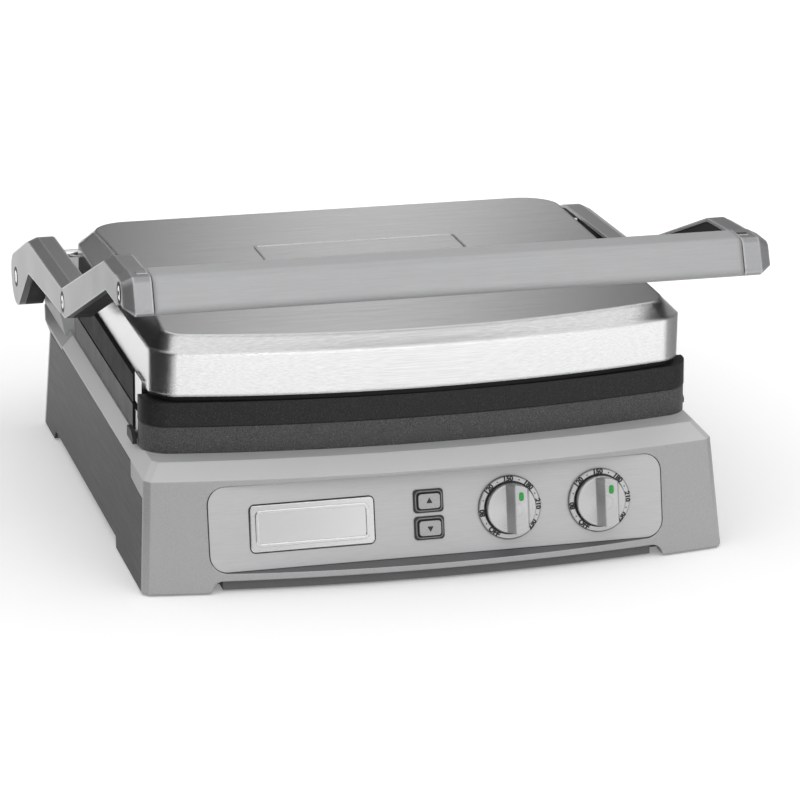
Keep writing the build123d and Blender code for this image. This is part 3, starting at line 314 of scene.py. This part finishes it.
def moulded(name, colour, worn, roughness, size=1100.0, bump=0.15, rounding=0.0005, gloss=0.35):
    finish, nodes, links, skin = new_finish(name)
    mould = use_group(nodes, links, mould_skin,
                      {"Colour": colour, "Worn": worn, "Texture size": size, "Roughness": roughness})
    rounded_relief(nodes, links, skin, mould["Height"], rounding, bump)
    links.new(mould["Colour"], skin.inputs["Base Color"])
    links.new(mould["Roughness"], skin.inputs["Roughness"])
    skin.inputs["Specular IOR Level"].default_value = gloss
    return finish


pan_grey = moulded("pan_grey", colour=(0.15, 0.15, 0.153), worn=(0.19, 0.19, 0.193), roughness=0.5)
dress(pan_grey, "bottom_pan")
foot_rubber = moulded("foot_rubber", colour=(0.02, 0.02, 0.02), worn=(0.035, 0.035, 0.034),
                      roughness=0.8, size=2200.0, bump=0.3)
dress(foot_rubber, "rubber_feet")


# Control panel: a flat aluminium plate let into the bowed front, finely brushed
# along its length and lacquered. A thin black gasket runs round its edge. The
# panel carries the badge plate, the buttons and the dials.
panel_right = Vector((1.0, 0.0, 0.0))
panel_up = Vector((0.0, 0.2118, 0.9773))
panel_out = Vector((0.0, -0.9773, 0.2118))


def panel_span(name):
    points = [vertex.co for vertex in frame["nodes"][name].data.vertices]
    reaches = [[point.dot(axis) for point in points] for axis in (panel_right, panel_up, panel_out)]
    lows, highs = [min(reach) for reach in reaches], [max(reach) for reach in reaches]
    middle = [(low + high) / 2 for low, high in zip(lows, highs)]
    size = [high - low for low, high in zip(lows, highs)]
    return middle[:2], size[:2], highs[2]


def select_only(*pieces):
    bpy.ops.object.select_all(action="DESELECT")
    for piece in pieces:
        piece.select_set(True)
    bpy.context.view_layer.objects.active = pieces[0]


def settle(piece):
    select_only(piece)
    bpy.ops.object.transform_apply(location=True, rotation=True, scale=True)


def stand_along(across, up, out):
    return Matrix((across, up, out)).transposed().to_4x4()


def lay_on_panel(piece, middle, out, flip=1.0):
    spot = middle[0] * panel_right + middle[1] * panel_up + out * panel_out
    stand = stand_along(flip * panel_right, flip * panel_up, panel_out)
    piece.matrix_world = Matrix.Translation(spot) @ stand
    settle(piece)


def cut_sheet(name, width, height, corner, corner_steps, band):
    bpy.ops.object.select_all(action="DESELECT")
    bpy.ops.mesh.primitive_plane_add(size=1.0, location=(0, 0, 0))
    piece = bpy.context.object
    piece.name = name
    piece.scale = (width, height, 1.0)
    settle(piece)
    bpy.ops.object.mode_set(mode="EDIT")
    bpy.ops.mesh.select_all(action="SELECT")
    bpy.ops.mesh.bevel(affect="VERTICES", offset=corner, segments=corner_steps, profile=0.5)
    if band:
        bpy.ops.mesh.select_all(action="SELECT")
        bpy.ops.mesh.inset(thickness=band, depth=0.0)
        bpy.ops.mesh.delete(type="FACE")
    bpy.ops.object.mode_set(mode="OBJECT")
    return piece


def thicken(piece, depth):
    thick = piece.modifiers.new("thickness", "SOLIDIFY")
    thick.thickness = depth
    thick.offset = 1.0
    bpy.ops.object.modifier_apply(modifier="thickness")


def soften(piece, edge):
    rim = piece.modifiers.new("edges", "BEVEL")
    rim.width = edge
    rim.segments = 2
    rim.limit_method = "ANGLE"
    rim.angle_limit = math.radians(50)
    bpy.ops.object.modifier_apply(modifier="edges")


def stamped(name, width, height, corner, band, depth, edge):
    piece = cut_sheet(name, width, height, corner, 7, band)
    thicken(piece, depth)
    soften(piece, edge)
    return piece


def fit(piece, finish, body):
    piece.data.materials.clear()
    piece.data.materials.append(finish)
    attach(piece, body)


panel_aluminium = brushed("panel_aluminium", colour=(0.58, 0.582, 0.587), line=(0.53, 0.532, 0.537),
                          stretch=(60.0, 2400.0, 2400.0), roughness=0.4, metallic=0.45,
                          rounding=0.0006, bump=0.08)
dress(panel_aluminium, "control_panel")
gasket_black = moulded("gasket_black", colour=(0.025, 0.025, 0.026), worn=(0.045, 0.045, 0.046),
                       roughness=0.6, size=2200.0, bump=0.1)
gasket_band = 0.0006
gasket_corner = 0.012
gasket_depth = 0.0012
gasket_sunk = 0.0011
panel_middle, panel_size, panel_face = panel_span("control_panel")
gasket = stamped("panel_gasket", width=panel_size[0] + 2 * gasket_band,
                 height=panel_size[1] + 2 * gasket_band, corner=gasket_corner + gasket_band,
                 band=gasket_band, depth=gasket_depth, edge=0.0001)
lay_on_panel(gasket, panel_middle, panel_face - gasket_sunk)
fit(gasket, gasket_black, "base")


# Badge plate: a bare plate of satin chrome with bevelled edges, stuck to the
# panel. A black band round it is painted shade at its edge, and a plain bead is
# pressed up inside its edge.
badge_chrome = brushed("badge_chrome", colour=(0.74, 0.74, 0.742), line=(0.69, 0.69, 0.692),
                       stretch=(50.0, 2400.0, 2400.0), roughness=0.2, metallic=1.0,
                       rounding=0.0008, bump=0.03)
dress(badge_chrome, "badge_plate")
badge_corner = 0.0042
shade_band = 0.0007
bead_margin = 0.0035
bead_sunk = 0.00008
badge_middle, badge_size, badge_face = panel_span("badge_plate")
# Painted shade: a black band laid round the badge's edge.
badge_shade = stamped("badge_shade_line", width=badge_size[0] + 2 * shade_band,
               height=badge_size[1] + 2 * shade_band, corner=badge_corner, band=shade_band,
               depth=0.0004, edge=0.00008)
lay_on_panel(badge_shade, badge_middle, panel_face)
fit(badge_shade, gasket_black, "base")
bead = stamped("badge_bead", width=badge_size[0] - 2 * bead_margin,
               height=badge_size[1] - 2 * bead_margin, corner=badge_corner, band=0.0024,
               depth=0.0011, edge=0.0005)
lay_on_panel(bead, badge_middle, badge_face - bead_sunk)
fit(bead, badge_chrome, "base")


# Push buttons: pale satin caps in black wells, each with a grey ring inside a
# dark moulded bezel. A plain triangle is printed on each cap.
bezel_dark = moulded("bezel_dark", colour=(0.045, 0.045, 0.047), worn=(0.07, 0.07, 0.072),
                     roughness=0.4, size=2200.0, bump=0.08)
dress(bezel_dark, "button_bezels")
well_black = moulded("well_black", colour=(0.012, 0.012, 0.013), worn=(0.025, 0.025, 0.026),
                     roughness=0.5, size=2200.0, bump=0.08)
dress(well_black, "button_upper", "button_lower")
ring_grey = painted("ring_grey", colour=(0.2, 0.2, 0.204), flake=(0.28, 0.28, 0.284),
                    roughness=0.4, metallic=0.3, rounding=0.0003)
cap_silver = painted("cap_silver", colour=(0.4, 0.4, 0.404), flake=(0.48, 0.48, 0.484),
                     roughness=0.38, metallic=0.35, rounding=0.0004)
print_black, nodes, links, skin = new_finish("print_black")
screen = noise(nodes, links, own_place(nodes), 4000.0)
ink = mix_colours(nodes, links, screen, (0.012, 0.012, 0.013), (0.03, 0.03, 0.031))
links.new(ink, skin.inputs["Base Color"])
skin.inputs["Roughness"].default_value = 0.6

cap_size = (0.0152, 0.0102)
cap_lift = 0.0005
cap_sunk = 0.00005
ring_margin = 0.0011
ring_sunk = 0.0001
mark_radius = 0.0026
mark_corner = 0.0004
mark_sunk = 0.00007
ink_depth = 0.00006
bezel_face = panel_span("button_bezels")[2]
for button, body, flip in (("button_upper", "push_upper", 1.0), ("button_lower", "push_lower", -1.0)):
    middle, well_size, well_face = panel_span(button)
    cap = stamped(button + "_cap", *cap_size, corner=0.0022, band=0.0, depth=cap_lift, edge=0.00035)
    lay_on_panel(cap, middle, well_face - cap_sunk)
    fit(cap, cap_silver, body)
    ring = stamped(button + "_ring", width=well_size[0] + 2 * ring_margin,
                   height=well_size[1] + 2 * ring_margin, corner=0.0034, band=0.0009,
                   depth=0.0005, edge=0.0002)
    lay_on_panel(ring, middle, bezel_face - ring_sunk)
    fit(ring, ring_grey, "base")
    bpy.ops.object.select_all(action="DESELECT")
    bpy.ops.mesh.primitive_circle_add(vertices=3, radius=mark_radius, fill_type="NGON",
                                      location=(0, 0, 0))
    mark = bpy.context.object
    mark.name = button + "_mark"
    bpy.ops.object.mode_set(mode="EDIT")
    bpy.ops.mesh.select_all(action="SELECT")
    bpy.ops.mesh.bevel(affect="VERTICES", offset=mark_corner, segments=3)
    bpy.ops.object.mode_set(mode="OBJECT")
    thicken(mark, ink_depth)
    lay_on_panel(mark, middle, well_face + cap_lift - mark_sunk, flip)
    fit(mark, print_black, body)


# Dial rings: a turned bright ring lies on the panel round each knob, with a dark
# outline, and inside it a dark band that is painted shade of the gap round the knob.
ring_face = panel_span("dial_rings")[2]
knob_edge = 0.0184
outline_start = 0.0217
gap_shade_tone = (0.015, 0.015, 0.016)
outline_tone = (0.05, 0.05, 0.051)


def dial_middle(joint_name):
    joint = next(joint for joint in frame["joints"] if joint["name"] == joint_name)
    spot = Vector(joint["pos_m"])
    return spot + (ring_face - spot.dot(panel_out)) * panel_out


def turned_lines(nodes, links, radius, scale, detail=2.0):
    texture = nodes.new("ShaderNodeTexNoise")
    texture.noise_dimensions = "1D"
    texture.inputs["Scale"].default_value = scale
    texture.inputs["Detail"].default_value = detail
    links.new(radius, texture.inputs["W"])
    return texture.outputs["Fac"]


dial_middles = [dial_middle("dial_lower_turn"), dial_middle("dial_upper_turn")]
ring_bright, nodes, links, skin = new_finish("ring_bright")
place = own_place(nodes)
reaches = [vector_step(nodes, links, "DISTANCE", place, spot) for spot in dial_middles]
radius = reckon(nodes, links, "MINIMUM", *reaches)
groove = turned_lines(nodes, links, radius, 4200.0, detail=1.0)
turned_face = mix_colours(nodes, links, groove, (0.5, 0.502, 0.506), (0.66, 0.662, 0.665))
outline = spread(nodes, links, radius, outline_start, outline_start + 0.0003, 0.0, 0.75)
turned_face = mix_colours(nodes, links, outline, turned_face, outline_tone)
# Painted shade: the ring's inside edge is darkened, for the gap round the knob.
beyond = spread(nodes, links, radius, knob_edge, knob_edge + 0.0003)
links.new(mix_colours(nodes, links, beyond, gap_shade_tone, turned_face), skin.inputs["Base Color"])
links.new(spread(nodes, links, groove, 0.2, 0.8, 0.3, 0.42), skin.inputs["Roughness"])
rounded_relief(nodes, links, skin, groove, rounding=0.0003, bump=0.06)
skin.inputs["Metallic"].default_value = 0.6
dress(ring_bright, "dial_rings")


# Knobs: spun metal, each with one raised grip that carries a small green lamp.
# The turning marks run round the knob's own middle.
for knob, middle in zip(("knob_lower", "knob_upper"), dial_middles):
    spun, nodes, links, skin = new_finish(knob + "_spun")
    outward = vector_step(nodes, links, "SUBTRACT", own_place(nodes), middle)
    around = vector_step(nodes, links, "CROSS_PRODUCT", outward, panel_out)
    links.new(around, skin.inputs["Tangent"])
    radius = vector_step(nodes, links, "LENGTH", outward)
    rings = turned_lines(nodes, links, radius, 3600.0)
    tone = mix_colours(nodes, links, rings, (0.5, 0.502, 0.506), (0.6, 0.602, 0.606))
    normal = rounded_relief(nodes, links, skin, rings, rounding=0.0007, bump=0.05)
    # Painted highlight along the knob's edges.
    tone = highlight_edges(nodes, links, normal, tone, (0.8, 0.8, 0.8), 0.4)
    links.new(tone, skin.inputs["Base Color"])
    links.new(spread(nodes, links, rings, 0.2, 0.8, 0.26, 0.36), skin.inputs["Roughness"])
    skin.inputs["Metallic"].default_value = 0.9
    skin.inputs["Anisotropic"].default_value = 0.75
    dress(spun, knob)

lamp_green, nodes, links, skin = new_finish("lamp_green")
prism = noise(nodes, links, own_place(nodes), 900.0)
lens = mix_colours(nodes, links, prism, (0.01, 0.2, 0.03), (0.03, 0.36, 0.06))
links.new(lens, skin.inputs["Base Color"])
gleam = mix_colours(nodes, links, prism, (0.005, 0.2, 0.02), (0.02, 0.32, 0.04))
links.new(gleam, skin.inputs["Emission Color"])
skin.inputs["Emission Strength"].default_value = 0.3
skin.inputs["Roughness"].default_value = 0.2
dress(lamp_green, "led_lower", "led_upper")


# Dial numbers: plain temperatures, an off mark and dots, printed in black on each
# ring. Those on the lower part of the ring stand the other way up, to be read.
number_height = 0.0049
number_radius = 0.0199
number_boldness = 0.00032
print_depth = 0.00004
dot_radius = 0.00048
dial_numbers = ((-143, "OFF"), (-97, "80"), (-47, "120"), (-2, "150"), (43, "180"), (87, "210"),
                (130, "230"))
dial_dots = (-120, -72, -25, 21, 65, 109)
turned_over_from = 110


def on_dial(middle, angle):
    turn = math.radians(angle)
    outward = math.sin(turn) * panel_right + math.cos(turn) * panel_up
    along = math.cos(turn) * panel_right - math.sin(turn) * panel_up
    upright = 1.0 if abs(angle) < turned_over_from else -1.0
    spot = middle + number_radius * outward - 0.00001 * panel_out
    return Matrix.Translation(spot) @ stand_along(upright * along, upright * outward, panel_out)


def join_up(name, pieces):
    select_only(*pieces)
    bpy.ops.object.join()
    joined = bpy.context.object
    joined.name = name
    return joined


for dial, middle in zip(("dial_lower", "dial_upper"), dial_middles):
    marks = []
    for angle, figures in dial_numbers:
        bpy.ops.object.select_all(action="DESELECT")
        bpy.ops.object.text_add(location=(0, 0, 0))
        label = bpy.context.object
        label.data.body = figures
        label.data.size = number_height
        label.data.align_x = "CENTER"
        label.data.align_y = "CENTER"
        label.data.extrude = print_depth
        label.data.offset = number_boldness
        label.data.resolution_u = 3
        bpy.ops.object.convert(target="MESH")
        label.matrix_world = on_dial(middle, angle)
        marks.append(label)
    for angle in dial_dots:
        bpy.ops.object.select_all(action="DESELECT")
        bpy.ops.mesh.primitive_cylinder_add(vertices=16, radius=dot_radius, depth=2 * print_depth)
        dot = bpy.context.object
        dot.matrix_world = on_dial(middle, angle)
        marks.append(dot)
    numbers = join_up(dial + "_numbers", marks)
    settle(numbers)
    fit(numbers, print_black, "base")


# Parts behind the panel: a pressed thermostat behind each dial, and a green
# glass-fibre board with the two switches.
works_steel = brushed("works_steel", colour=(0.36, 0.355, 0.35), line=(0.3, 0.295, 0.29),
                      stretch=(400.0, 400.0, 1500.0), roughness=0.4, metallic=0.9, rounding=0.0003)
dress(works_steel, "thermostats")
board_green = moulded("board_green", colour=(0.015, 0.085, 0.03), worn=(0.025, 0.12, 0.045),
                      roughness=0.4, size=600.0, bump=0.05)
dress(board_green, "control_board")


# Heaters and reflectors: a dull steel tube under each plate, over a pan of
# bright rolled aluminium sheet that has coloured a little with heat.
heater_steel = brushed("heater_steel", colour=(0.2, 0.19, 0.18), line=(0.13, 0.12, 0.115),
                       stretch=(700.0, 700.0, 700.0), roughness=0.5, metallic=0.9, rounding=0.0002)
dress(heater_steel, "lower_heater", "upper_heater")
reflector_sheet = brushed("reflector_sheet", colour=(0.72, 0.715, 0.7), line=(0.62, 0.61, 0.59),
                          stretch=(40.0, 1500.0, 1500.0), roughness=0.25, metallic=1.0,
                          rounding=0.0003)
dress(reflector_sheet, "lower_reflector", "upper_reflector")


# Cooking plates: cast aluminium with ribs, sprayed with a black non-stick coat
# that is full of fine grey specks. The upper plate's coat is darker, as painted shade,
# and the lower plate's lighter and speckled more, as painted light.
def coated(name, ground, speck, start):
    finish, nodes, links, skin = new_finish(name)
    specks = noise(nodes, links, own_place(nodes), 2300.0, roughness=0.6)
    share = spread(nodes, links, specks, start, start + 0.22)
    links.new(mix_colours(nodes, links, share, ground, speck), skin.inputs["Base Color"])
    links.new(spread(nodes, links, specks, 0.3, 0.7, 0.42, 0.6), skin.inputs["Roughness"])
    rounded_relief(nodes, links, skin, specks, rounding=0.0012, bump=0.35)
    skin.inputs["Specular IOR Level"].default_value = 0.3
    return finish


# Lit and shaded copies of one coat: the lower lighter, the upper darker.
lower_coat = coated("lower_coat", ground=(0.05, 0.05, 0.051), speck=(0.19, 0.19, 0.194), start=0.46)
dress(lower_coat, "lower_plate")
upper_coat = coated("upper_coat", ground=(0.01, 0.01, 0.011), speck=(0.09, 0.09, 0.093), start=0.52)
dress(upper_coat, "upper_plate")


# Frames: mouldings that stand beside the plates, a dark grey one on the deck and
# a black one under the cover, kept darker than the deck's as painted shade under the
# cover's edge, which makes the dark line above the upper plate.
frame_grey = moulded("frame_grey", colour=(0.02, 0.02, 0.021), worn=(0.034, 0.034, 0.035),
                     roughness=0.45, size=1400.0, bump=0.1)
dress(frame_grey, "lower_frame")
# Painted shade: this frame is darker than the deck frame, for the shade under the cover.
frame_shade_black = moulded("frame_shade_black", colour=(0.008, 0.008, 0.009), worn=(0.016, 0.016, 0.017),
                      roughness=0.6, size=1400.0, bump=0.1, gloss=0.15)
dress(frame_shade_black, "upper_frame")


# Hinge towers, pins and bushes: painted castings at the rear corners, a turned
# steel pin in each, and a nylon bush in the arm.
tower_paint = painted("tower_paint", colour=(0.34, 0.342, 0.347), flake=(0.39, 0.392, 0.397),
                      roughness=0.42, metallic=0.25, rounding=0.0012)
dress(tower_paint, "hinge_tower_left", "hinge_tower_right")
pin_steel = brushed("pin_steel", colour=(0.5, 0.5, 0.5), line=(0.42, 0.42, 0.42),
                    stretch=(1800.0, 200.0, 200.0), roughness=0.3, metallic=1.0, rounding=0.0003)
dress(pin_steel, "hinge_pins")
bush_nylon = moulded("bush_nylon", colour=(0.1, 0.1, 0.1), worn=(0.14, 0.14, 0.138),
                     roughness=0.55, size=1600.0, bump=0.05)
dress(bush_nylon, "hinge_bush_left", "hinge_bush_right")


# Arms and handle: cast cranks and an extruded bar in satin silver paint, with
# black liners in the hollow inner sides. Behind the bar the cranks are toned black
# underneath: painted shade, which also stands for a black underside.
arm_metallic = 0.7
arm_paint = painted("arm_paint", colour=(0.29, 0.292, 0.297), flake=(0.325, 0.327, 0.332),
                    roughness=0.34, metallic=arm_metallic, rounding=0.002, highlight=0.9, highlight_gain=2.6)
underside_shade_tone = (0.009, 0.009, 0.01)
bar_rear = -0.196
nodes, links, skin, silver, facing, where = reopen(arm_paint)
# Painted shade: downward faces behind the bar turn black and lose their metal.
below = spread(nodes, links, facing["Z"], -0.35, -0.5)
behind = spread(nodes, links, where["Y"], bar_rear, bar_rear + 0.004)
underside_shade = reckon(nodes, links, "MULTIPLY", below, behind)
links.new(mix_colours(nodes, links, underside_shade, silver, underside_shade_tone), skin.inputs["Base Color"])
links.new(spread(nodes, links, underside_shade, 0.0, 1.0, arm_metallic, 0.0), skin.inputs["Metallic"])
dress(arm_paint, "arm_left", "arm_right")
bar_satin = brushed("bar_satin", colour=(0.41, 0.412, 0.417), line=(0.37, 0.372, 0.377),
                    stretch=(40.0, 2200.0, 2200.0), roughness=0.42, metallic=0.35, rounding=0.005,
                    bump=0.08, highlight=0.0)
dress(bar_satin, "handle_bar")
liner_black = moulded("liner_black", colour=(0.009, 0.009, 0.01), worn=(0.018, 0.018, 0.019),
                      roughness=0.6, gloss=0.15)
dress(liner_black, "arm_liner_left", "arm_liner_right")


# Pivot rod and arm screws: a chromed rod carries the cover between the arms, and
# chromed dome screws hold the arms. Each head has a socket in its dome and lies in
# a seat let into the outer side of the arm; the seat and the socket's floor are made
# black as painted shade.
screw_chrome = brushed("screw_chrome", colour=(0.8, 0.8, 0.8), line=(0.7, 0.7, 0.7),
                       stretch=(900.0, 900.0, 900.0), roughness=0.12, metallic=1.0,
                       rounding=0.0004, bump=0.02)
dress(screw_chrome, "pivot_rod")
seat_radius = 0.0076
seat_depth = 0.0009
seat_lift = 0.00012
dome_radius = 0.0047
screw_proud = 0.0005
row_gap = 0.02
head_steps = ((0.0004, 0.0), (0.0025, 0.0), (0.0002, 0.00012), (0.0011, 0.00013),
              (0.0012, 0.0001), (0.0003, -0.0005))


def screw_head():
    bpy.ops.object.select_all(action="DESELECT")
    bpy.ops.mesh.primitive_cylinder_add(vertices=40, radius=seat_radius, depth=seat_depth,
                                        location=(0, 0, 0))
    head = bpy.context.object
    bpy.ops.object.mode_set(mode="EDIT")
    bpy.ops.mesh.select_mode(type="FACE")
    bpy.ops.mesh.select_all(action="DESELECT")
    bpy.ops.object.mode_set(mode="OBJECT")
    for polygon in head.data.polygons:
        polygon.select = polygon.normal.z > 0.9
    bpy.ops.object.mode_set(mode="EDIT")
    for step_in, step_up in head_steps:
        bpy.ops.mesh.inset(thickness=step_in, depth=step_up)
    bpy.ops.object.mode_set(mode="OBJECT")
    head.data.materials.append(screw_chrome)
    head.data.materials.append(gasket_black)
    for polygon in head.data.polygons:
        # Painted shade: the seat round the dome and the socket's floor take the black finish.
        shaded_face = polygon.center.xy.length > dome_radius or len(polygon.vertices) > 4
        polygon.material_index = int(shaded_face)
    bpy.ops.object.shade_smooth_by_angle(angle=math.radians(40))
    return head


screw_points = [vertex.co.copy() for vertex in frame["nodes"]["arm_screws"].data.vertices]
screw_rows = []
for point in sorted(screw_points, key=lambda spot: spot.y):
    if not screw_rows or point.y - screw_rows[-1][-1].y > row_gap:
        screw_rows.append([])
    screw_rows[-1].append(point)
heads = []
for row in screw_rows:
    for side in (1, -1):
        points = [point for point in row if side * point.x > 0]
        arm_face = max(side * point.x for point in points) - screw_proud
        spot = Vector((side * (arm_face + seat_lift - seat_depth / 2),
                       (min(p.y for p in points) + max(p.y for p in points)) / 2,
                       (min(p.z for p in points) + max(p.z for p in points)) / 2))
        head = screw_head()
        stand = stand_along((0.0, side, 0.0), (0.0, 0.0, 1.0), (side, 0.0, 0.0))
        head.matrix_world = Matrix.Translation(spot) @ stand
        settle(head)
        heads.append(head)
screws = join_up("arm_screw_heads", heads)
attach(screws, "arms")
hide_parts("arm_screws")


# Handle stops: a small bright block with softened edges, let into the top of the
# arm at each end of the handle.
stop_across = 0.2072
stop_back = -0.2125
stop_sunk = Vector((0.0, 0.0, 0.0007))
for side, label in ((1, "right"), (-1, "left")):
    arm = frame["nodes"]["arm_" + label]
    spot = arm.ray_cast((side * stop_across, stop_back, 1.0), (0.0, 0.0, -1.0))[1]
    stop = stamped("handle_stop_" + label, width=0.0078, height=0.0062, corner=0.0009, band=0.0,
                   depth=0.0008, edge=0.0003)
    stop.matrix_world = Matrix.Translation(spot - stop_sunk)
    settle(stop)
    fit(stop, screw_chrome, "arms")


# Cover: one deep-drawn sheet of stainless steel, brushed from side to side, with a
# bevelled edge and a crowned top. A plain bead, laid along the crown, frames an
# empty field, and steel cheeks inside carry the cover on the rod.
cover_steel = brushed("cover_steel", colour=(0.79, 0.792, 0.796), line=(0.66, 0.662, 0.668),
                      stretch=(22.0, 2000.0, 2000.0), roughness=0.22, metallic=1.0, rounding=0.003,
                      bump=0.22, highlight=0.0)
dress(cover_steel, "cover_shell")
field_above = (0.0, 0.015, 0.2)
field = cut_sheet("cover_field_bead", width=0.15, height=0.039, corner=0.003, corner_steps=5,
                  band=0.0014)
field.location = field_above
settle(field)
bpy.ops.object.mode_set(mode="EDIT")
bpy.ops.mesh.select_all(action="SELECT")
bpy.ops.mesh.subdivide(number_cuts=15)
bpy.ops.object.mode_set(mode="OBJECT")
wrap = field.modifiers.new("lie", "SHRINKWRAP")
wrap.target = frame["nodes"]["cover_shell"]
wrap.wrap_method = "PROJECT"
wrap.use_project_z = True
wrap.use_negative_direction = True
wrap.offset = -0.0001
bpy.ops.object.modifier_apply(modifier="lie")
thicken(field, 0.0007)
soften(field, 0.0003)
fit(field, cover_steel, "cover")
cheek_steel = brushed("cheek_steel", colour=(0.32, 0.32, 0.325), line=(0.26, 0.26, 0.265),
                      stretch=(900.0, 60.0, 900.0), roughness=0.4, metallic=0.9, rounding=0.0003)
dress(cheek_steel, "pivot_cheek_left", "pivot_cheek_right")


# Corner clips: bright spring blades that hold the plates, the lower ones with
# black finger tabs.
clip_bright = brushed("clip_bright", colour=(0.78, 0.78, 0.78), line=(0.7, 0.7, 0.7),
                      stretch=(600.0, 600.0, 80.0), roughness=0.18, metallic=1.0, rounding=0.0004,
                      bump=0.03)
dress(clip_bright, "lower_clip_left", "lower_clip_right", "upper_clip_left", "upper_clip_right")
tab_black = moulded("tab_black", colour=(0.025, 0.025, 0.026), worn=(0.045, 0.045, 0.046),
                    roughness=0.5)
dress(tab_black, "lower_clip_tab_left", "lower_clip_tab_right")


# Drip tray and cord inlet: black mouldings in the rear wall. The tray slides out
# on its rails, and the inlet is fixed.
tray_black = moulded("tray_black", colour=(0.03, 0.03, 0.031), worn=(0.05, 0.05, 0.05),
                     roughness=0.45)
dress(tray_black, "drip_tray", "cord_inlet")


# Floor and surround: a pale matt floor and an even white room. What the camera and
# the bright metal see of them is lifted to white, less so near the press, where
# the floor keeps its shadow.
def seen_directly(nodes, links):
    ray = nodes.new("ShaderNodeLightPath").outputs
    seen = reckon(nodes, links, "MAXIMUM", ray["Is Camera Ray"], ray["Is Glossy Ray"])
    return reckon(nodes, links, "MAXIMUM", seen, ray["Is Transmission Ray"])


bpy.ops.object.select_all(action="DESELECT")
bpy.ops.mesh.primitive_plane_add(size=30.0, location=(0, 0, 0))
floor = bpy.context.object
floor.name = "floor"
near_glow, far_glow = 0.24, 0.6
near_reach, far_reach = 0.4, 1.1
floor_white, nodes, links, skin = new_finish("floor_white")
skin.inputs["Base Color"].default_value = (0.8, 0.8, 0.8, 1.0)
skin.inputs["Roughness"].default_value = 0.9
skin.inputs["Specular IOR Level"].default_value = 0.1
skin.inputs["Emission Color"].default_value = (1.0, 1.0, 1.0, 1.0)
reach = vector_step(nodes, links, "LENGTH", own_place(nodes))
glow = spread(nodes, links, reach, near_reach, far_reach, near_glow, far_glow)
links.new(reckon(nodes, links, "MULTIPLY", seen_directly(nodes, links), glow),
          skin.inputs["Emission Strength"])
floor.data.materials.append(floor_white)

room_light = 0.35
surround = bpy.data.worlds.new("surround")
bpy.context.scene.world = surround
surround.use_nodes = True
nodes, links = surround.node_tree.nodes, surround.node_tree.links
sky = nodes["Background"]
sky.inputs["Color"].default_value = (1.0, 1.0, 1.0, 1.0)
links.new(spread(nodes, links, seen_directly(nodes, links), 0.0, 1.0, room_light, 1.0),
          sky.inputs["Strength"])


# Cards: upright sheets round the press that only show in the bright metal. Each
# has one tone in its middle and another at its sides, where the tone fades over a
# share of its width.
def card(name, spot, heading, width, height, middle, side, reach):
    bpy.ops.object.select_all(action="DESELECT")
    bpy.ops.mesh.primitive_plane_add(size=1.0, location=spot,
                                     rotation=(math.radians(90), 0.0, math.radians(heading)))
    sheet = bpy.context.object
    sheet.name = name
    sheet.scale = (width, height, 1.0)
    sheet.visible_camera = False
    sheet.visible_diffuse = False
    sheet.visible_shadow = False
    finish, nodes, links, skin = new_finish(name)
    off_middle = reckon(nodes, links, "ABSOLUTE", split(nodes, links, own_place(nodes))["X"])
    fade = spread(nodes, links, off_middle, 0.0, reach, middle, side, "SMOOTHSTEP")
    skin.inputs["Base Color"].default_value = (0.0, 0.0, 0.0, 1.0)
    skin.inputs["Specular IOR Level"].default_value = 0.0
    skin.inputs["Emission Color"].default_value = (1.0, 1.0, 1.0, 1.0)
    links.new(fade, skin.inputs["Emission Strength"])
    sheet.data.materials.append(finish)


card("rear_card", (0.4, 1.5, 0.8), 0, width=2.4, height=1.4, middle=0.62, side=0.1, reach=0.2)
card("front_card", (0.33, -1.5, 0.26), 0, width=0.6, height=0.5, middle=1.35, side=0.6, reach=0.22)
card("left_card", (-0.36, -0.35, 0.2), 90, width=0.8, height=0.38, middle=0.03, side=0.05, reach=0.5)
card("right_card", (0.4, -0.05, 0.2), 90, width=0.5, height=0.38, middle=0.3, side=0.4, reach=0.5)


# Lamps and camera: three soft boxes, of which the large one overhead doesn't show
# in the metal, and a long lens that looks down on the press from its left.
for name, spot, aim, width, depth, watts, in_metal in (
        ("front_box", (0.4, -2.3, 1.7), (0.0, 0.0, 0.1), 2.2, 1.2, 9.0, True),
        ("top_box", (0.1, -0.3, 2.3), (0.1, -0.3, 0.0), 4.6, 4.2, 68.0, False),
        ("side_fill", (-2.4, -1.2, 1.4), (0.0, 0.0, 0.1), 1.2, 1.2, 3.0, True)):
    bpy.ops.object.light_add(type="AREA", location=spot)
    lamp = bpy.context.object
    lamp.name = name
    lamp.data.shape = "RECTANGLE"
    lamp.data.size = width
    lamp.data.size_y = depth
    lamp.data.energy = watts
    lamp.visible_glossy = in_metal
    lamp.rotation_euler = (Vector(aim) - Vector(spot)).to_track_quat("-Z", "Y").to_euler()

eye = (-0.68735, -2.6004, 0.96136)
look = Vector((0.2511, 0.9141, -0.3183)).normalized()
level_right = Vector((0.9643, -0.2649, 0.0)).normalized()
level_down = look.cross(level_right).normalized()
roll = math.radians(0.74)
across = math.cos(roll) * level_right - math.sin(roll) * level_down
upward = -(math.sin(roll) * level_right + math.cos(roll) * level_down)
bpy.ops.object.camera_add(location=eye)
camera = bpy.context.object
camera.name = "camera"
camera.data.sensor_width = 36.0
camera.data.lens = 175.42
camera.data.clip_end = 60.0
camera.matrix_world = Matrix.Translation(eye) @ stand_along(across, upward, -look)
bpy.context.scene.camera = camera
bpy.context.scene.view_settings.view_transform = "Standard"
